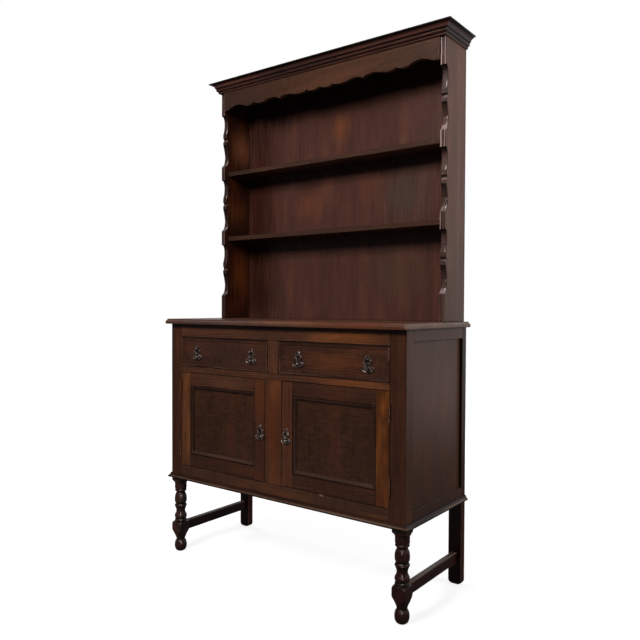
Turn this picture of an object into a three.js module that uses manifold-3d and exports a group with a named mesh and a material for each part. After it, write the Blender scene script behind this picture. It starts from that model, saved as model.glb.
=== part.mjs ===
// A dresser in dark stained oak: a cupboard with two drawers over two panelled doors on turned
// front legs, and a plate rack with two shelves standing on its table top.
// Lengths are in millimetres. +Z is up, the front faces -Y, left and right are as seen from the
// front, and the origin is on the floor under the middle of the table top.
import * as THREE from 'three';
import { mergeVertices } from 'three/addons/utils/BufferGeometryUtils.js';
import Module from 'manifold-3d';

const wasm = await Module();
wasm.setup();

// Overall sizes
const carcassWidth = 1053;
const carcassDepth = 416;
const carcassFloorHeight = 293;
const tableHeight = 916;
const tableThickness = 19.5;
const tableFrontOverhang = 26;
const tableSideOverhang = 15.5;
const rackSideInset = 8.5;
const rackDepth = 155.5;
const overallHeight = 1895;

// Clearances and the overrun of cutting tools
const fitClearance = 0.3;
const drawerGap = 1;
const doorGap = 1.5;
const overrun = 1;

// Carcass frame
const frontPostWidth = 57.5;
const frontPostDepth = 44;
const rearLegWidth = 48.5;
const rearLegDepth = 28;
const rearLegChamfer = 6;
const sideRailThickness = 20;
const sideTopRailHeight = 38;
const sideBottomRailHeight = 48;
const sidePanelRecess = 10;
const panelThickness = 6;
const grooveDepth = 6;
const frontRailThickness = 22;
const frontTopRailHeight = 48.5;
const frontBottomRailHeight = 55.5;
const drawerOpeningHeight = 114.5;
const drawerMuntinWidth = 48.5;
const doorMuntinWidth = 74;
const carcassBackThickness = 6;
const cupboardFloorThickness = 12;
const deckThickness = 22.5;
const guideWidth = 12;
const guideHeight = 12;

// Legs and stretchers
const legSquare = 48.5;
const turningSkim = 0.4;
const stretcherHeight = 37.5;
const stretcherThickness = 18.5;
const stretcherMiddleShare = 0.3235;

// Mouldings of the carcass
const baseMouldingHeight = 18;
const baseMouldingDepth = 11;
const tableEdgeDepth = 9;

// Drawers
const drawerFrontThickness = 20;
const drawerFieldRecess = 5;
const drawerRimWidth = 16;
const drawerBackClearance = 50;
const drawerHeadroom = 22.5;
const drawerSideThickness = 10;
const drawerBottomThickness = 5;
const drawerBottomRise = 6;

// Doors
const doorThickness = 20;
const doorStileWidth = 48;
const doorRailHeight = 47.5;
const doorPanelRecess = 9;
const doorMouldingWidth = 16.5;

// Butt hinges
const hingeHeight = 60;
const hingeInset = 65;
const knuckleRadius = 3;
const leafThickness = 0.9;
const leafDepth = 18;

// Plate rack
const uprightThickness = 21;
const rackBackThickness = 6;
const shelfThickness = 18;
const shelfSetback = 20;
const lowerShelfShare = 0.397;
const upperShelfShare = 0.71;
const friezeThickness = 19;
const friezeProjection = 6;
const friezeHeight = 96;
const friezeArchHeight = 16;
const scallopDepth = 19;
const bayDrop = 18;
const bayHeightShare = 0.783;

// Cornice
const corniceHeight = 40;
const corniceProjection = 34.5;
const corniceBoardThickness = 18;

// Drop handles
const drawerHandleSpread = 139;
const drawerHandleDrop = 4.75;
const doorHandleInset = 21;
const doorHandleRise = 171;
const plateHeight = 58;
const drawerPlateWidth = 52;
const doorPlateWidth = 42;
const plateThickness = 2.5;
const pivotRise = 15;
const swingClearance = 1;
const pinRadius = 1.3;
const pinClearance = 0.5;
const eyeRadius = 4.2;
const eyeWidth = 4.6;
const earThickness = 2.4;
const earGap = 0.5;
const earRadius = 2.6;
const dropLength = 36;
const dropRadius = 5.5;

// Places worked out from the sizes above
const tableDepth = carcassDepth + tableFrontOverhang;
const backY = tableDepth / 2;
const frontY = backY - carcassDepth;
const halfCarcass = carcassWidth / 2;
const tableUnderside = tableHeight - tableThickness;
const postInnerX = halfCarcass - frontPostWidth;
const postBackY = frontY + frontPostDepth;
const rearLegInnerX = halfCarcass - rearLegWidth;
const rearLegFrontY = backY - rearLegDepth;
const railInnerX = halfCarcass - sideRailThickness;
const railBackY = frontY + frontRailThickness;
const carcassBackY = backY - carcassBackThickness;
const drawerTop = tableUnderside - frontTopRailHeight;
const deckTop = drawerTop - drawerOpeningHeight;
const deckUnderside = deckTop - deckThickness;
const doorOpeningBottom = carcassFloorHeight + frontBottomRailHeight;
const halfDrawerMuntin = drawerMuntinWidth / 2;
const halfDoorMuntin = doorMuntinWidth / 2;
const halfRack = halfCarcass - rackSideInset;
const uprightInnerX = halfRack - uprightThickness;
const rackFrontY = backY - rackDepth;
const rackBackY = backY - rackBackThickness;
const rackTop = overallHeight - corniceBoardThickness;
const corniceBase = overallHeight - corniceHeight;
const friezeFrontY = rackFrontY - friezeProjection;
const friezeLowPoint = rackTop - friezeHeight;
const rackClearHeight = friezeLowPoint - tableHeight;
const lowerShelfHeight = tableHeight + rackClearHeight * lowerShelfShare;
const upperShelfHeight = tableHeight + rackClearHeight * upperShelfShare;
const bayHeight = (upperShelfHeight - lowerShelfHeight) * bayHeightShare;
const drawerBoxLength = carcassBackY - drawerBackClearance - frontY - drawerFrontThickness;
const drawerBoxHeight = drawerOpeningHeight - drawerHeadroom;
const pivotStandoff = plateThickness + dropRadius + swingClearance;

// Facet counts
const legSides = 20;
const smallSides = 12;
const curveSteps = 3;
const mergeTolerance = 1e-4;

// Colours and sheen of the finishes
const frameOak = { color: 0x3f281b, roughness: 0.42, metalness: 0 };
const doorOak = { color: 0x4a2b18, roughness: 0.4, metalness: 0 };
const panelOak = { color: 0x35231c, roughness: 0.45, metalness: 0 };
const sideOak = { color: 0x4a3b35, roughness: 0.42, metalness: 0 };
const rackOak = { color: 0x4b3529, roughness: 0.45, metalness: 0 };
const legOak = { color: 0x2d1d18, roughness: 0.4, metalness: 0 };
const innerOak = { color: 0x6b4a30, roughness: 0.7, metalness: 0 };
const bronze = { color: 0x4a413c, roughness: 0.45, metalness: 0.85 };
const iron = { color: 0x2c2826, roughness: 0.5, metalness: 0.8 };

const bothSides = [['left', -1], ['right', 1]];

// Makes a mesh with its own material and hangs it in a group.
function addPiece(parent, name, geometry, finish, place = [0, 0, 0]) {
  const mesh = new THREE.Mesh(geometry, new THREE.MeshStandardMaterial(finish));
  mesh.name = name;
  mesh.position.set(...place);
  parent.add(mesh);
  return mesh;
}

function addGroup(parent, place = [0, 0, 0]) {
  const group = new THREE.Group();
  group.position.set(...place);
  parent.add(group);
  return group;
}

// A box between two opposite corners, given in either order along each axis.
function boxBetween(cornerA, cornerB) {
  const size = cornerA.map((value, axis) => Math.abs(cornerB[axis] - value));
  const middle = cornerA.map((value, axis) => (value + cornerB[axis]) / 2);
  const geometry = new THREE.BoxGeometry(...size);
  geometry.translate(...middle);
  return geometry;
}

// A cylinder along X or Z.
function rod(radius, length, axis, middle) {
  const geometry = new THREE.CylinderGeometry(radius, radius, length, smallSides);
  if (axis === 'x') geometry.rotateZ(Math.PI / 2);
  else geometry.rotateX(Math.PI / 2);
  geometry.translate(...middle);
  return geometry;
}

// Six times the volume inside a mesh; below zero where its faces point inwards.
function signedVolume(position, triangles) {
  const [a, b, c] = [new THREE.Vector3(), new THREE.Vector3(), new THREE.Vector3()];
  let sum = 0;
  for (let i = 0; i < triangles.length; i += 3) {
    a.fromBufferAttribute(position, triangles[i]);
    b.fromBufferAttribute(position, triangles[i + 1]);
    c.fromBufferAttribute(position, triangles[i + 2]);
    sum += a.dot(b.cross(c));
  }
  return sum;
}

// The geometry as a solid that can be joined and cut, with its faces turned outwards.
function solidOf(geometry) {
  const bare = geometry.clone();
  bare.deleteAttribute('normal');
  bare.deleteAttribute('uv');
  const merged = mergeVertices(bare, mergeTolerance);
  const index = merged.index.array;
  const triangles = [];
  for (let i = 0; i < index.length; i += 3) {
    const [a, b, c] = [index[i], index[i + 1], index[i + 2]];
    if (a !== b && b !== c && c !== a) triangles.push(a, b, c);
  }
  const position = merged.attributes.position;
  if (signedVolume(position, triangles) < 0) triangles.reverse();
  const vertProperties = Float32Array.from(position.array);
  const triVerts = Uint32Array.from(triangles);
  return new wasm.Manifold(new wasm.Mesh({ numProp: 3, vertProperties, triVerts }));
}

function geometryOf(solid) {
  const { vertProperties, triVerts } = solid.getMesh();
  const geometry = new THREE.BufferGeometry();
  geometry.setAttribute('position', new THREE.BufferAttribute(vertProperties, 3));
  geometry.setIndex(new THREE.BufferAttribute(triVerts, 1));
  geometry.computeVertexNormals();
  return geometry;
}

function join(...geometries) {
  const solids = geometries.map(solidOf);
  return geometryOf(solids.reduce((whole, next) => whole.add(next)));
}

function cut(geometry, ...cutters) {
  const solids = cutters.map(solidOf);
  return geometryOf(solids.reduce((whole, next) => whole.subtract(next), solidOf(geometry)));
}

// Follows an outline given as strokes: to is a stroke's end, and via, where it has one, is the
// point that its curve leans towards. Each point is a pair of shares of the two sizes given.
function drawStrokes(path, strokes, sizeA, sizeB) {
  for (const { to, via } of strokes) {
    const end = [to[0] * sizeA, to[1] * sizeB];
    if (via) path.quadraticCurveTo(via[0] * sizeA, via[1] * sizeB, ...end);
    else path.lineTo(...end);
  }
}

// Strokes drawn from a point on the line of symmetry, mirrored in it and followed back to there.
function mirrorStrokes(start, strokes) {
  const starts = [start, ...strokes.map(({ to }) => to)];
  const mirror = (point) => point && [-point[0], point[1]];
  return strokes.map(({ via }, i) => ({ to: mirror(starts[i]), via: mirror(via) })).reverse();
}

// A moulding round the front and both sides of a rectangle, mitred at the front corners. The
// profile's first size runs outwards and its second runs up from the base.
function wrapMoulding(profile, halfWidth, frontEdge, base) {
  const runs = 3;
  const settings = { steps: runs, depth: runs, bevelEnabled: false, curveSegments: curveSteps };
  const geometry = new THREE.ExtrudeGeometry(profile, settings);
  const position = geometry.attributes.position;
  for (let i = 0; i < position.count; i++) {
    const outwards = position.getX(i);
    const station = Math.round(position.getZ(i));
    const side = station < runs / 2 ? 1 : -1;
    const atBack = station === 0 || station === runs;
    const y = atBack ? backY : frontEdge - outwards;
    position.setXYZ(i, side * (halfWidth + outwards), y, base + position.getY(i));
  }
  return geometry;
}

// A straight moulding along one edge of a rectangle in the front plane, with mitred ends. The
// profile's first size runs from that edge into the rectangle, its second into the depth.
function edgeMoulding(profile, edge, rectangle, front, mitreGap) {
  const settings = { steps: 1, depth: 1, bevelEnabled: false, curveSegments: curveSteps };
  const geometry = new THREE.ExtrudeGeometry(profile, settings);
  const position = geometry.attributes.position;
  const { left, right, bottom, top } = rectangle;
  for (let i = 0; i < position.count; i++) {
    const inwards = position.getX(i);
    const short = Math.max(inwards, 0) + mitreGap;
    const atEnd = position.getZ(i) > 0;
    const x = atEnd ? right - short : left + short;
    const z = atEnd ? top - short : bottom + short;
    const places = {
      bottom: [x, bottom + inwards],
      top: [x, top - inwards],
      left: [left + inwards, z],
      right: [right - inwards, z],
    };
    position.setXYZ(i, places[edge][0], front + position.getY(i), places[edge][1]);
  }
  return geometry;
}

// Front leg: a square that is turned between its square blocks. Heights are shares of the leg's
// length and radii are shares of half the square; over 1.42 the square is left whole.
const legStrokeShares = [
  { to: [0.5, 0] },
  { to: [0.985, 0.074], via: [0.96, 0.012] },
  { to: [0.71, 0.149], via: [0.975, 0.132] },
  { to: [0.69, 0.16] },
  { to: [1.5, 0.297], via: [0.85, 0.215] },
  { to: [1.5, 0.352] },
  { to: [0.985, 0.398], via: [1.42, 0.39] },
  { to: [0.88, 0.404] },
  { to: [0.88, 0.433], via: [1.06, 0.419] },
  { to: [0.85, 0.441] },
  { to: [0.925, 0.496], via: [1.08, 0.464] },
  { to: [0.72, 0.538], via: [0.76, 0.512] },
  { to: [0.9, 0.592], via: [0.74, 0.574] },
  { to: [0.9, 0.63], via: [1.07, 0.611] },
  { to: [0.85, 0.648] },
  { to: [0.985, 0.708], via: [1.01, 0.662] },
  { to: [0.72, 0.783], via: [0.97, 0.758] },
  { to: [0.72, 0.799] },
  { to: [0.8, 0.804] },
  { to: [0.85, 0.832], via: [1.08, 0.82] },
  { to: [0.962, 0.838] },
  { to: [0.962, 0.909] },
  { to: [1.5, 0.959], via: [1.03, 0.942] },
  { to: [1.5, 1] },
  { to: [0, 1] },
];

function frontLegGeometry() {
  const profile = new THREE.Path();
  profile.moveTo(0, 0);
  const turnedRadius = legSquare / 2 - turningSkim;
  drawStrokes(profile, legStrokeShares, turnedRadius, carcassFloorHeight);
  const turned = new THREE.LatheGeometry(profile.getPoints(curveSteps), legSides);
  turned.rotateX(Math.PI / 2);
  const half = legSquare / 2;
  const square = boxBetween([-half, -half, 0], [half, half, carcassFloorHeight]);
  return geometryOf(solidOf(square).intersect(solidOf(turned)));
}

// Rear leg: a plain post that runs from the floor to the table, chamfered at its foot.
function rearLegGeometry() {
  const outline = new THREE.Shape();
  const half = rearLegWidth / 2;
  outline.moveTo(-half + rearLegChamfer, 0);
  outline.lineTo(half - rearLegChamfer, 0);
  outline.lineTo(half, rearLegChamfer);
  outline.lineTo(half, tableUnderside);
  outline.lineTo(-half, tableUnderside);
  outline.lineTo(-half, rearLegChamfer);
  const geometry = new THREE.ExtrudeGeometry(outline, { depth: rearLegDepth, bevelEnabled: false });
  geometry.rotateX(Math.PI / 2);
  geometry.translate(0, backY, 0);
  return geometry;
}

// The groove that holds a side panel, cut from all four members round it.
function sideGroove(side) {
  const outer = halfCarcass - sidePanelRecess + fitClearance;
  const inner = halfCarcass - sidePanelRecess - panelThickness - fitClearance;
  const low = carcassFloorHeight + sideBottomRailHeight - grooveDepth;
  const high = tableUnderside - sideTopRailHeight + grooveDepth;
  const front = postBackY - grooveDepth;
  const back = rearLegFrontY + grooveDepth;
  return boxBetween([side * outer, front, low], [side * inner, back, high]);
}

function buildSide(parent, label, side) {
  const groove = sideGroove(side);
  const outer = side * halfCarcass;
  const inner = side * railInnerX;
  const post = boxBetween(
    [side * postInnerX, frontY, carcassFloorHeight],
    [outer, postBackY, tableUnderside],
  );
  addPiece(parent, `corner_post_${label}`, cut(post, groove), frameOak);

  const rearLegX = side * (halfCarcass - rearLegWidth / 2);
  const rearLeg = rearLegGeometry().translate(rearLegX, 0, 0);
  addPiece(parent, `rear_leg_${label}`, cut(rearLeg, groove), legOak);

  const topRailLow = tableUnderside - sideTopRailHeight;
  const topRail = boxBetween([outer, postBackY, topRailLow], [inner, rearLegFrontY, tableUnderside]);
  addPiece(parent, `side_top_rail_${label}`, cut(topRail, groove), sideOak);

  const bottomRailHigh = carcassFloorHeight + sideBottomRailHeight;
  const bottomRail = boxBetween(
    [outer, postBackY, carcassFloorHeight],
    [inner, rearLegFrontY, bottomRailHigh],
  );
  addPiece(parent, `side_bottom_rail_${label}`, cut(bottomRail, groove), sideOak);

  const reach = grooveDepth - fitClearance;
  const panelOuter = halfCarcass - sidePanelRecess;
  const panel = boxBetween(
    [side * panelOuter, postBackY - reach, bottomRailHigh - reach],
    [side * (panelOuter - panelThickness), rearLegFrontY + reach, topRailLow + reach],
  );
  addPiece(parent, `side_panel_${label}`, panel, sideOak);

  const legX = side * (halfCarcass - legSquare / 2);
  const legY = frontY + legSquare / 2;
  addPiece(parent, `front_leg_${label}`, frontLegGeometry(), legOak, [legX, legY, 0]);

  const halfStretcher = stretcherThickness / 2;
  const stretcherMiddle = carcassFloorHeight * stretcherMiddleShare;
  const stretcher = boxBetween(
    [-halfStretcher, frontY + legSquare + fitClearance, stretcherMiddle - stretcherHeight / 2],
    [halfStretcher, rearLegFrontY, stretcherMiddle + stretcherHeight / 2],
  );
  addPiece(parent, `side_stretcher_${label}`, stretcher, legOak, [legX, 0, 0]);
}

// A board across the whole carcass, cut out round the rear legs and, where it runs past them,
// round the front posts.
function carcassBoard(frontEdge, low, thickness) {
  const outline = new THREE.Shape();
  const half = [
    [Math.min(postInnerX, railInnerX), frontEdge],
    [postInnerX, postBackY],
    [railInnerX, postBackY],
    [railInnerX, rearLegFrontY],
    [rearLegInnerX, rearLegFrontY],
    [rearLegInnerX, carcassBackY],
  ];
  const mirrored = half.map(([x, y]) => [-x, y]).reverse();
  outline.setFromPoints([...half, ...mirrored].map(([x, y]) => new THREE.Vector2(x, y)));
  const geometry = new THREE.ExtrudeGeometry(outline, { depth: thickness, bevelEnabled: false });
  geometry.translate(0, 0, low);
  return geometry;
}

// The deck parts the drawers from the cupboard. Its front edge shows as the middle rail, and
// three strips on it guide the drawers.
function deckGeometry() {
  const board = carcassBoard(frontY, deckUnderside, deckThickness);
  const low = deckTop - overrun;
  const high = deckTop + guideHeight;
  const middle = boxBetween(
    [-halfDrawerMuntin, railBackY, low],
    [halfDrawerMuntin, carcassBackY, high],
  );
  const outer = bothSides.map(([, side]) => boxBetween(
    [side * postInnerX, postBackY, low],
    [side * (postInnerX + guideWidth), rearLegFrontY, high],
  ));
  return join(board, middle, ...outer);
}

function frontRail(low, high) {
  return boxBetween([-postInnerX, frontY, low], [postInnerX, railBackY, high]);
}

const baseMouldingShares = [
  { to: [0.8, 0] },
  { to: [1, 0.16], via: [1, 0.02] },
  { to: [0.93, 0.38], via: [1, 0.32] },
  { to: [0.3, 0.9], via: [0.55, 0.46] },
  { to: [0.3, 1] },
  { to: [0, 1] },
];

const tableEdgeShares = [
  { to: [0.62, 0] },
  { to: [1, 0.3], via: [1, 0.02] },
  { to: [0.85, 0.6], via: [1, 0.55] },
  { to: [0.12, 0.9], via: [0.35, 0.72] },
  { to: [0.12, 1] },
];

function baseMouldingGeometry() {
  const profile = new THREE.Shape();
  profile.moveTo(0, 0);
  drawStrokes(profile, baseMouldingShares, baseMouldingDepth, baseMouldingHeight);
  return wrapMoulding(profile, halfCarcass, frontY, carcassFloorHeight);
}

// The table top is one board with a moulded edge on its front and its ends.
function tableTopGeometry() {
  const halfFlat = halfCarcass + tableSideOverhang - tableEdgeDepth;
  const flatFront = frontY - tableFrontOverhang + tableEdgeDepth;
  const board = boxBetween([-halfFlat, flatFront, tableUnderside], [halfFlat, backY, tableHeight]);
  const profile = new THREE.Shape();
  profile.moveTo(-overrun, 0);
  drawStrokes(profile, tableEdgeShares, tableEdgeDepth, tableThickness);
  profile.lineTo(-overrun, tableThickness);
  return join(board, wrapMoulding(profile, halfFlat, flatFront, tableUnderside));
}

function buildCarcass(parent) {
  for (const [label, side] of bothSides) buildSide(parent, label, side);
  addPiece(parent, 'front_top_rail', frontRail(drawerTop, tableUnderside), frameOak);
  const bottomRail = frontRail(carcassFloorHeight, doorOpeningBottom);
  addPiece(parent, 'front_bottom_rail', bottomRail, frameOak);
  addPiece(parent, 'drawer_deck', deckGeometry(), frameOak);
  const drawerMuntin = boxBetween(
    [-halfDrawerMuntin, frontY, deckTop],
    [halfDrawerMuntin, railBackY, drawerTop],
  );
  addPiece(parent, 'drawer_muntin', drawerMuntin, frameOak);
  const doorMuntin = boxBetween(
    [-halfDoorMuntin, frontY, doorOpeningBottom],
    [halfDoorMuntin, railBackY, deckUnderside],
  );
  addPiece(parent, 'door_muntin', doorMuntin, frameOak);
  const floorLow = doorOpeningBottom - cupboardFloorThickness;
  const floorBoard = carcassBoard(railBackY, floorLow, cupboardFloorThickness);
  addPiece(parent, 'cupboard_floor', floorBoard, innerOak);
  const backBoard = boxBetween(
    [-rearLegInnerX, carcassBackY, carcassFloorHeight],
    [rearLegInnerX, backY, tableUnderside],
  );
  addPiece(parent, 'carcass_back', backBoard, innerOak);
  addPiece(parent, 'base_moulding', baseMouldingGeometry(), frameOak);
  addPiece(parent, 'table_top', tableTopGeometry(), rackOak);
}

// The rims of the drawer fronts and the moulded edges of the door frames. The first share runs
// from the edge inwards and the second into the depth.
const rimShares = [
  { to: [0.3, 0] },
  { to: [0.38, 0.25] },
  { to: [0.88, 0.8], via: [0.62, 0.2] },
  { to: [1, 0.85] },
  { to: [1, 1] },
];

const doorMouldingShares = [
  { to: [0.12, 0.16] },
  { to: [0.8, 0.72], via: [0.5, 0.2] },
  { to: [1, 0.78] },
  { to: [1, 1] },
];

const edgeNames = ['bottom', 'top', 'left', 'right'];

// A board whose raised rim is mitred at the corners and slopes down to a flat field.
function drawerFrontGeometry(width, height) {
  const rectangle = { left: -width / 2, right: width / 2, bottom: 0, top: height };
  const field = boxBetween(
    [rectangle.left, drawerFieldRecess, 0],
    [rectangle.right, drawerFrontThickness, height],
  );
  const profile = new THREE.Shape();
  profile.moveTo(0, 0);
  drawStrokes(profile, rimShares, drawerRimWidth, drawerFieldRecess);
  profile.lineTo(drawerRimWidth, drawerFieldRecess + overrun);
  profile.lineTo(0, drawerFieldRecess + overrun);
  return join(field, ...edgeNames.map((edge) => edgeMoulding(profile, edge, rectangle, 0, 0)));
}

// The box behind a drawer front: two sides, a back and a bottom, dovetailed and glued.
function drawerBoxGeometry(width) {
  const half = width / 2;
  const innerHalf = half - drawerSideThickness;
  const backInner = drawerBoxLength - drawerSideThickness;
  const bottomTop = drawerBottomRise + drawerBottomThickness;
  const outside = boxBetween([-half, 0, 0], [half, drawerBoxLength, drawerBoxHeight]);
  const inside = boxBetween(
    [-innerHalf, -overrun, bottomTop],
    [innerHalf, backInner, drawerBoxHeight + overrun],
  );
  const under = boxBetween([-innerHalf, -overrun, -overrun], [innerHalf, backInner, drawerBottomRise]);
  return cut(outside, inside, under);
}

function buildDrawers(parent) {
  const inner = halfDrawerMuntin + drawerGap;
  const outer = postInnerX - drawerGap;
  const width = outer - inner;
  const height = drawerOpeningHeight - drawerGap * 2;
  const boxRise = fitClearance - drawerGap;
  for (const [label, side] of bothSides) {
    const middle = side * (inner + outer) / 2;
    const drawer = addGroup(parent, [middle, frontY, deckTop + drawerGap]);
    addPiece(drawer, `drawer_${label}_front`, drawerFrontGeometry(width, height), frameOak);
    const boxPlace = [0, drawerFrontThickness, boxRise];
    addPiece(drawer, `drawer_${label}_box`, drawerBoxGeometry(width), innerOak, boxPlace);
    const handleRise = height / 2 - drawerHandleDrop;
    for (const [end, toEnd] of bothSides) {
      const place = [toEnd * drawerHandleSpread, drawerFieldRecess, handleRise];
      addHandle(addGroup(drawer, place), `drawer_${label}_${end}`, drawerPlateWidth);
    }
  }
}

// One stile or rail of a door, with its moulded inner edge and the groove for the panel.
function doorMember(cornerA, cornerB, edge, opening, groove) {
  const profile = new THREE.Shape();
  profile.moveTo(-overrun, doorPanelRecess);
  profile.lineTo(-overrun, doorMouldingShares[0].to[1] * doorPanelRecess);
  drawStrokes(profile, doorMouldingShares, doorMouldingWidth, doorPanelRecess);
  const moulding = edgeMoulding(profile, edge, opening, 0, fitClearance / 2);
  return cut(join(boxBetween(cornerA, cornerB), moulding), groove);
}

function buildDoor(parent, label, side) {
  const width = postInnerX - halfDoorMuntin - doorGap * 2;
  const height = deckUnderside - doorOpeningBottom - doorGap * 2;
  const middle = side * (postInnerX + halfDoorMuntin) / 2;
  const door = addGroup(parent, [middle, frontY, doorOpeningBottom + doorGap]);
  const half = width / 2;
  const opening = {
    left: -half + doorStileWidth,
    right: half - doorStileWidth,
    bottom: doorRailHeight,
    top: height - doorRailHeight,
  };
  const grooveBack = doorPanelRecess + panelThickness + fitClearance;
  const groove = boxBetween(
    [opening.left - grooveDepth, doorPanelRecess, opening.bottom - grooveDepth],
    [opening.right + grooveDepth, grooveBack, opening.top + grooveDepth],
  );
  const member = (name, cornerA, cornerB, edge) => {
    const geometry = doorMember(cornerA, cornerB, edge, opening, groove);
    addPiece(door, `door_${label}_${name}`, geometry, doorOak);
  };
  const leftName = side < 0 ? 'hinge_stile' : 'latch_stile';
  const rightName = side < 0 ? 'latch_stile' : 'hinge_stile';
  const { left, right, bottom, top } = opening;
  member(leftName, [-half, 0, 0], [left, doorThickness, height], 'left');
  member(rightName, [right, 0, 0], [half, doorThickness, height], 'right');
  member('top_rail', [left, 0, top], [right, doorThickness, height], 'top');
  member('bottom_rail', [left, 0, 0], [right, doorThickness, bottom], 'bottom');

  const reach = grooveDepth - fitClearance;
  const panel = boxBetween(
    [opening.left - reach, doorPanelRecess, opening.bottom - reach],
    [opening.right + reach, doorPanelRecess + panelThickness, opening.top + reach],
  );
  addPiece(door, `door_${label}_panel`, panel, panelOak);
  const handle = addGroup(door, [-side * (half - doorHandleInset), 0, doorHandleRise]);
  addHandle(handle, `door_${label}`, doorPlateWidth);
}

// A butt hinge: the leaf is screwed to the post in the gap beside the door, and the knuckle
// stands just proud of the front, on the axis that the door turns about.
function hingeGeometry(side) {
  const knuckleX = -side * doorGap / 2;
  const knuckleY = -knuckleRadius - fitClearance;
  const knuckle = rod(knuckleRadius, hingeHeight, 'z', [knuckleX, knuckleY, 0]);
  const leaf = boxBetween(
    [0, knuckleY, -hingeHeight / 2],
    [-side * leafThickness, leafDepth, hingeHeight / 2],
  );
  return join(knuckle, leaf);
}

function buildHinges(parent) {
  const doorBottom = doorOpeningBottom + doorGap;
  const doorTop = deckUnderside - doorGap;
  const levels = [['lower', doorBottom + hingeInset], ['upper', doorTop - hingeInset]];
  for (const [label, side] of bothSides) {
    for (const [level, z] of levels) {
      const place = [side * postInnerX, frontY, z];
      addPiece(parent, `hinge_${label}_${level}`, hingeGeometry(side), iron, place);
    }
  }
}

// Half of a handle's pierced and scrolled plate, from its bottom point up to its crown, in
// shares of half its width and half its height.
const plateStrokeShares = [
  { to: [0.42, -0.84], via: [0.1, -0.84] },
  { to: [0.8, -0.82], via: [0.6, -1.02] },
  { to: [0.95, -0.34], via: [1.05, -0.62] },
  { to: [0.66, -0.36], via: [0.78, -0.16] },
  { to: [0.4, 0.02], via: [0.42, -0.36] },
  { to: [0.66, 0.34], via: [0.74, 0.06] },
  { to: [0.32, 0.46], via: [0.54, 0.56] },
  { to: [0.4, 0.82], via: [0.5, 0.58] },
  { to: [0, 1], via: [0.28, 1] },
];

function plateGeometry(width) {
  const halfWidth = width / 2;
  const halfHeight = plateHeight / 2;
  const outline = new THREE.Shape();
  outline.moveTo(0, -halfHeight);
  drawStrokes(outline, plateStrokeShares, halfWidth, halfHeight);
  drawStrokes(outline, mirrorStrokes([0, -1], plateStrokeShares), halfWidth, halfHeight);
  const settings = { depth: plateThickness, bevelEnabled: false, curveSegments: curveSteps };
  const geometry = new THREE.ExtrudeGeometry(outline, settings);
  geometry.rotateX(Math.PI / 2);
  return geometry;
}

// The fixed half of a handle: its plate, and two ears that hold the pivot pin.
function backplateGeometry(width) {
  const earOffset = eyeWidth / 2 + earGap + earThickness / 2;
  const pivot = [0, -pivotStandoff, pivotRise];
  const ears = bothSides.map(([, side]) => {
    const x = side * earOffset;
    const cheek = rod(earRadius, earThickness, 'x', [x, -pivotStandoff, pivotRise]);
    const web = boxBetween(
      [x - earThickness / 2, -pivotStandoff, pivotRise - earRadius],
      [x + earThickness / 2, -plateThickness / 2, pivotRise + earRadius],
    );
    return join(cheek, web);
  });
  const pin = rod(pinRadius, earOffset * 2, 'x', pivot);
  return join(plateGeometry(width), ...ears, pin);
}

// The swinging half: an eye round the pin, and a pear-shaped drop turned on an upright axis.
const dropStrokeShares = [
  { to: [0.42, 0.06] },
  { to: [0.42, 0.12], via: [0.55, 0.09] },
  { to: [1, 0.3], via: [0.95, 0.14] },
  { to: [0.38, 0.62], via: [0.95, 0.48] },
  { to: [0.34, 1] },
  { to: [0, 1] },
];

function dropGeometry() {
  const profile = new THREE.Path();
  profile.moveTo(0, 0);
  drawStrokes(profile, dropStrokeShares, dropRadius, dropLength);
  const pear = new THREE.LatheGeometry(profile.getPoints(curveSteps), smallSides);
  pear.rotateX(Math.PI / 2);
  pear.translate(0, 0, -dropLength);
  const eye = rod(eyeRadius, eyeWidth, 'x', [0, 0, 0]);
  const hole = rod(pinRadius + pinClearance, eyeWidth + overrun * 2, 'x', [0, 0, 0]);
  return cut(join(pear, eye), hole);
}

function addHandle(parent, prefix, width) {
  addPiece(parent, `${prefix}_handle_plate`, backplateGeometry(width), bronze);
  const pivot = [0, -pivotStandoff, pivotRise];
  addPiece(parent, `${prefix}_handle_drop`, dropGeometry(), bronze, pivot);
}

// One bay of an upright's scalloped front edge, from the bay's top down. The first share is of
// the deepest cut and the second of the bay's height.
const scallopShares = [
  { to: [0.45, 0.01] },
  { to: [0.84, 0.15], via: [0.84, 0.05] },
  { to: [0.42, 0.35], via: [0.84, 0.26] },
  { to: [0.42, 0.43] },
  { to: [0.66, 0.465], via: [0.62, 0.435] },
  { to: [0.42, 0.5], via: [0.62, 0.495] },
  { to: [0.42, 0.56] },
  { to: [1, 0.78], via: [0.78, 0.64] },
  { to: [0, 1], via: [1.02, 0.95] },
];

// An upright of the rack, cut from one board. Its bays lie under the frieze and each shelf.
function uprightGeometry() {
  const outline = new THREE.Shape();
  const undersides = [
    friezeLowPoint,
    upperShelfHeight - shelfThickness,
    lowerShelfHeight - shelfThickness,
  ];
  outline.moveTo(backY, tableHeight);
  outline.lineTo(backY, rackTop);
  outline.lineTo(rackFrontY, rackTop);
  for (const underside of undersides) {
    const bayTop = underside - bayDrop;
    const place = ([inShare, downShare]) => [
      rackFrontY + inShare * scallopDepth,
      bayTop - downShare * bayHeight,
    ];
    outline.lineTo(rackFrontY, bayTop);
    for (const { to, via } of scallopShares) {
      if (via) outline.quadraticCurveTo(...place(via), ...place(to));
      else outline.lineTo(...place(to));
    }
  }
  outline.lineTo(rackFrontY, tableHeight);
  const settings = { depth: uprightThickness, bevelEnabled: false, curveSegments: curveSteps };
  const geometry = new THREE.ExtrudeGeometry(outline, settings);
  geometry.rotateX(Math.PI / 2);
  geometry.rotateZ(Math.PI / 2);
  return geometry;
}

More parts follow.
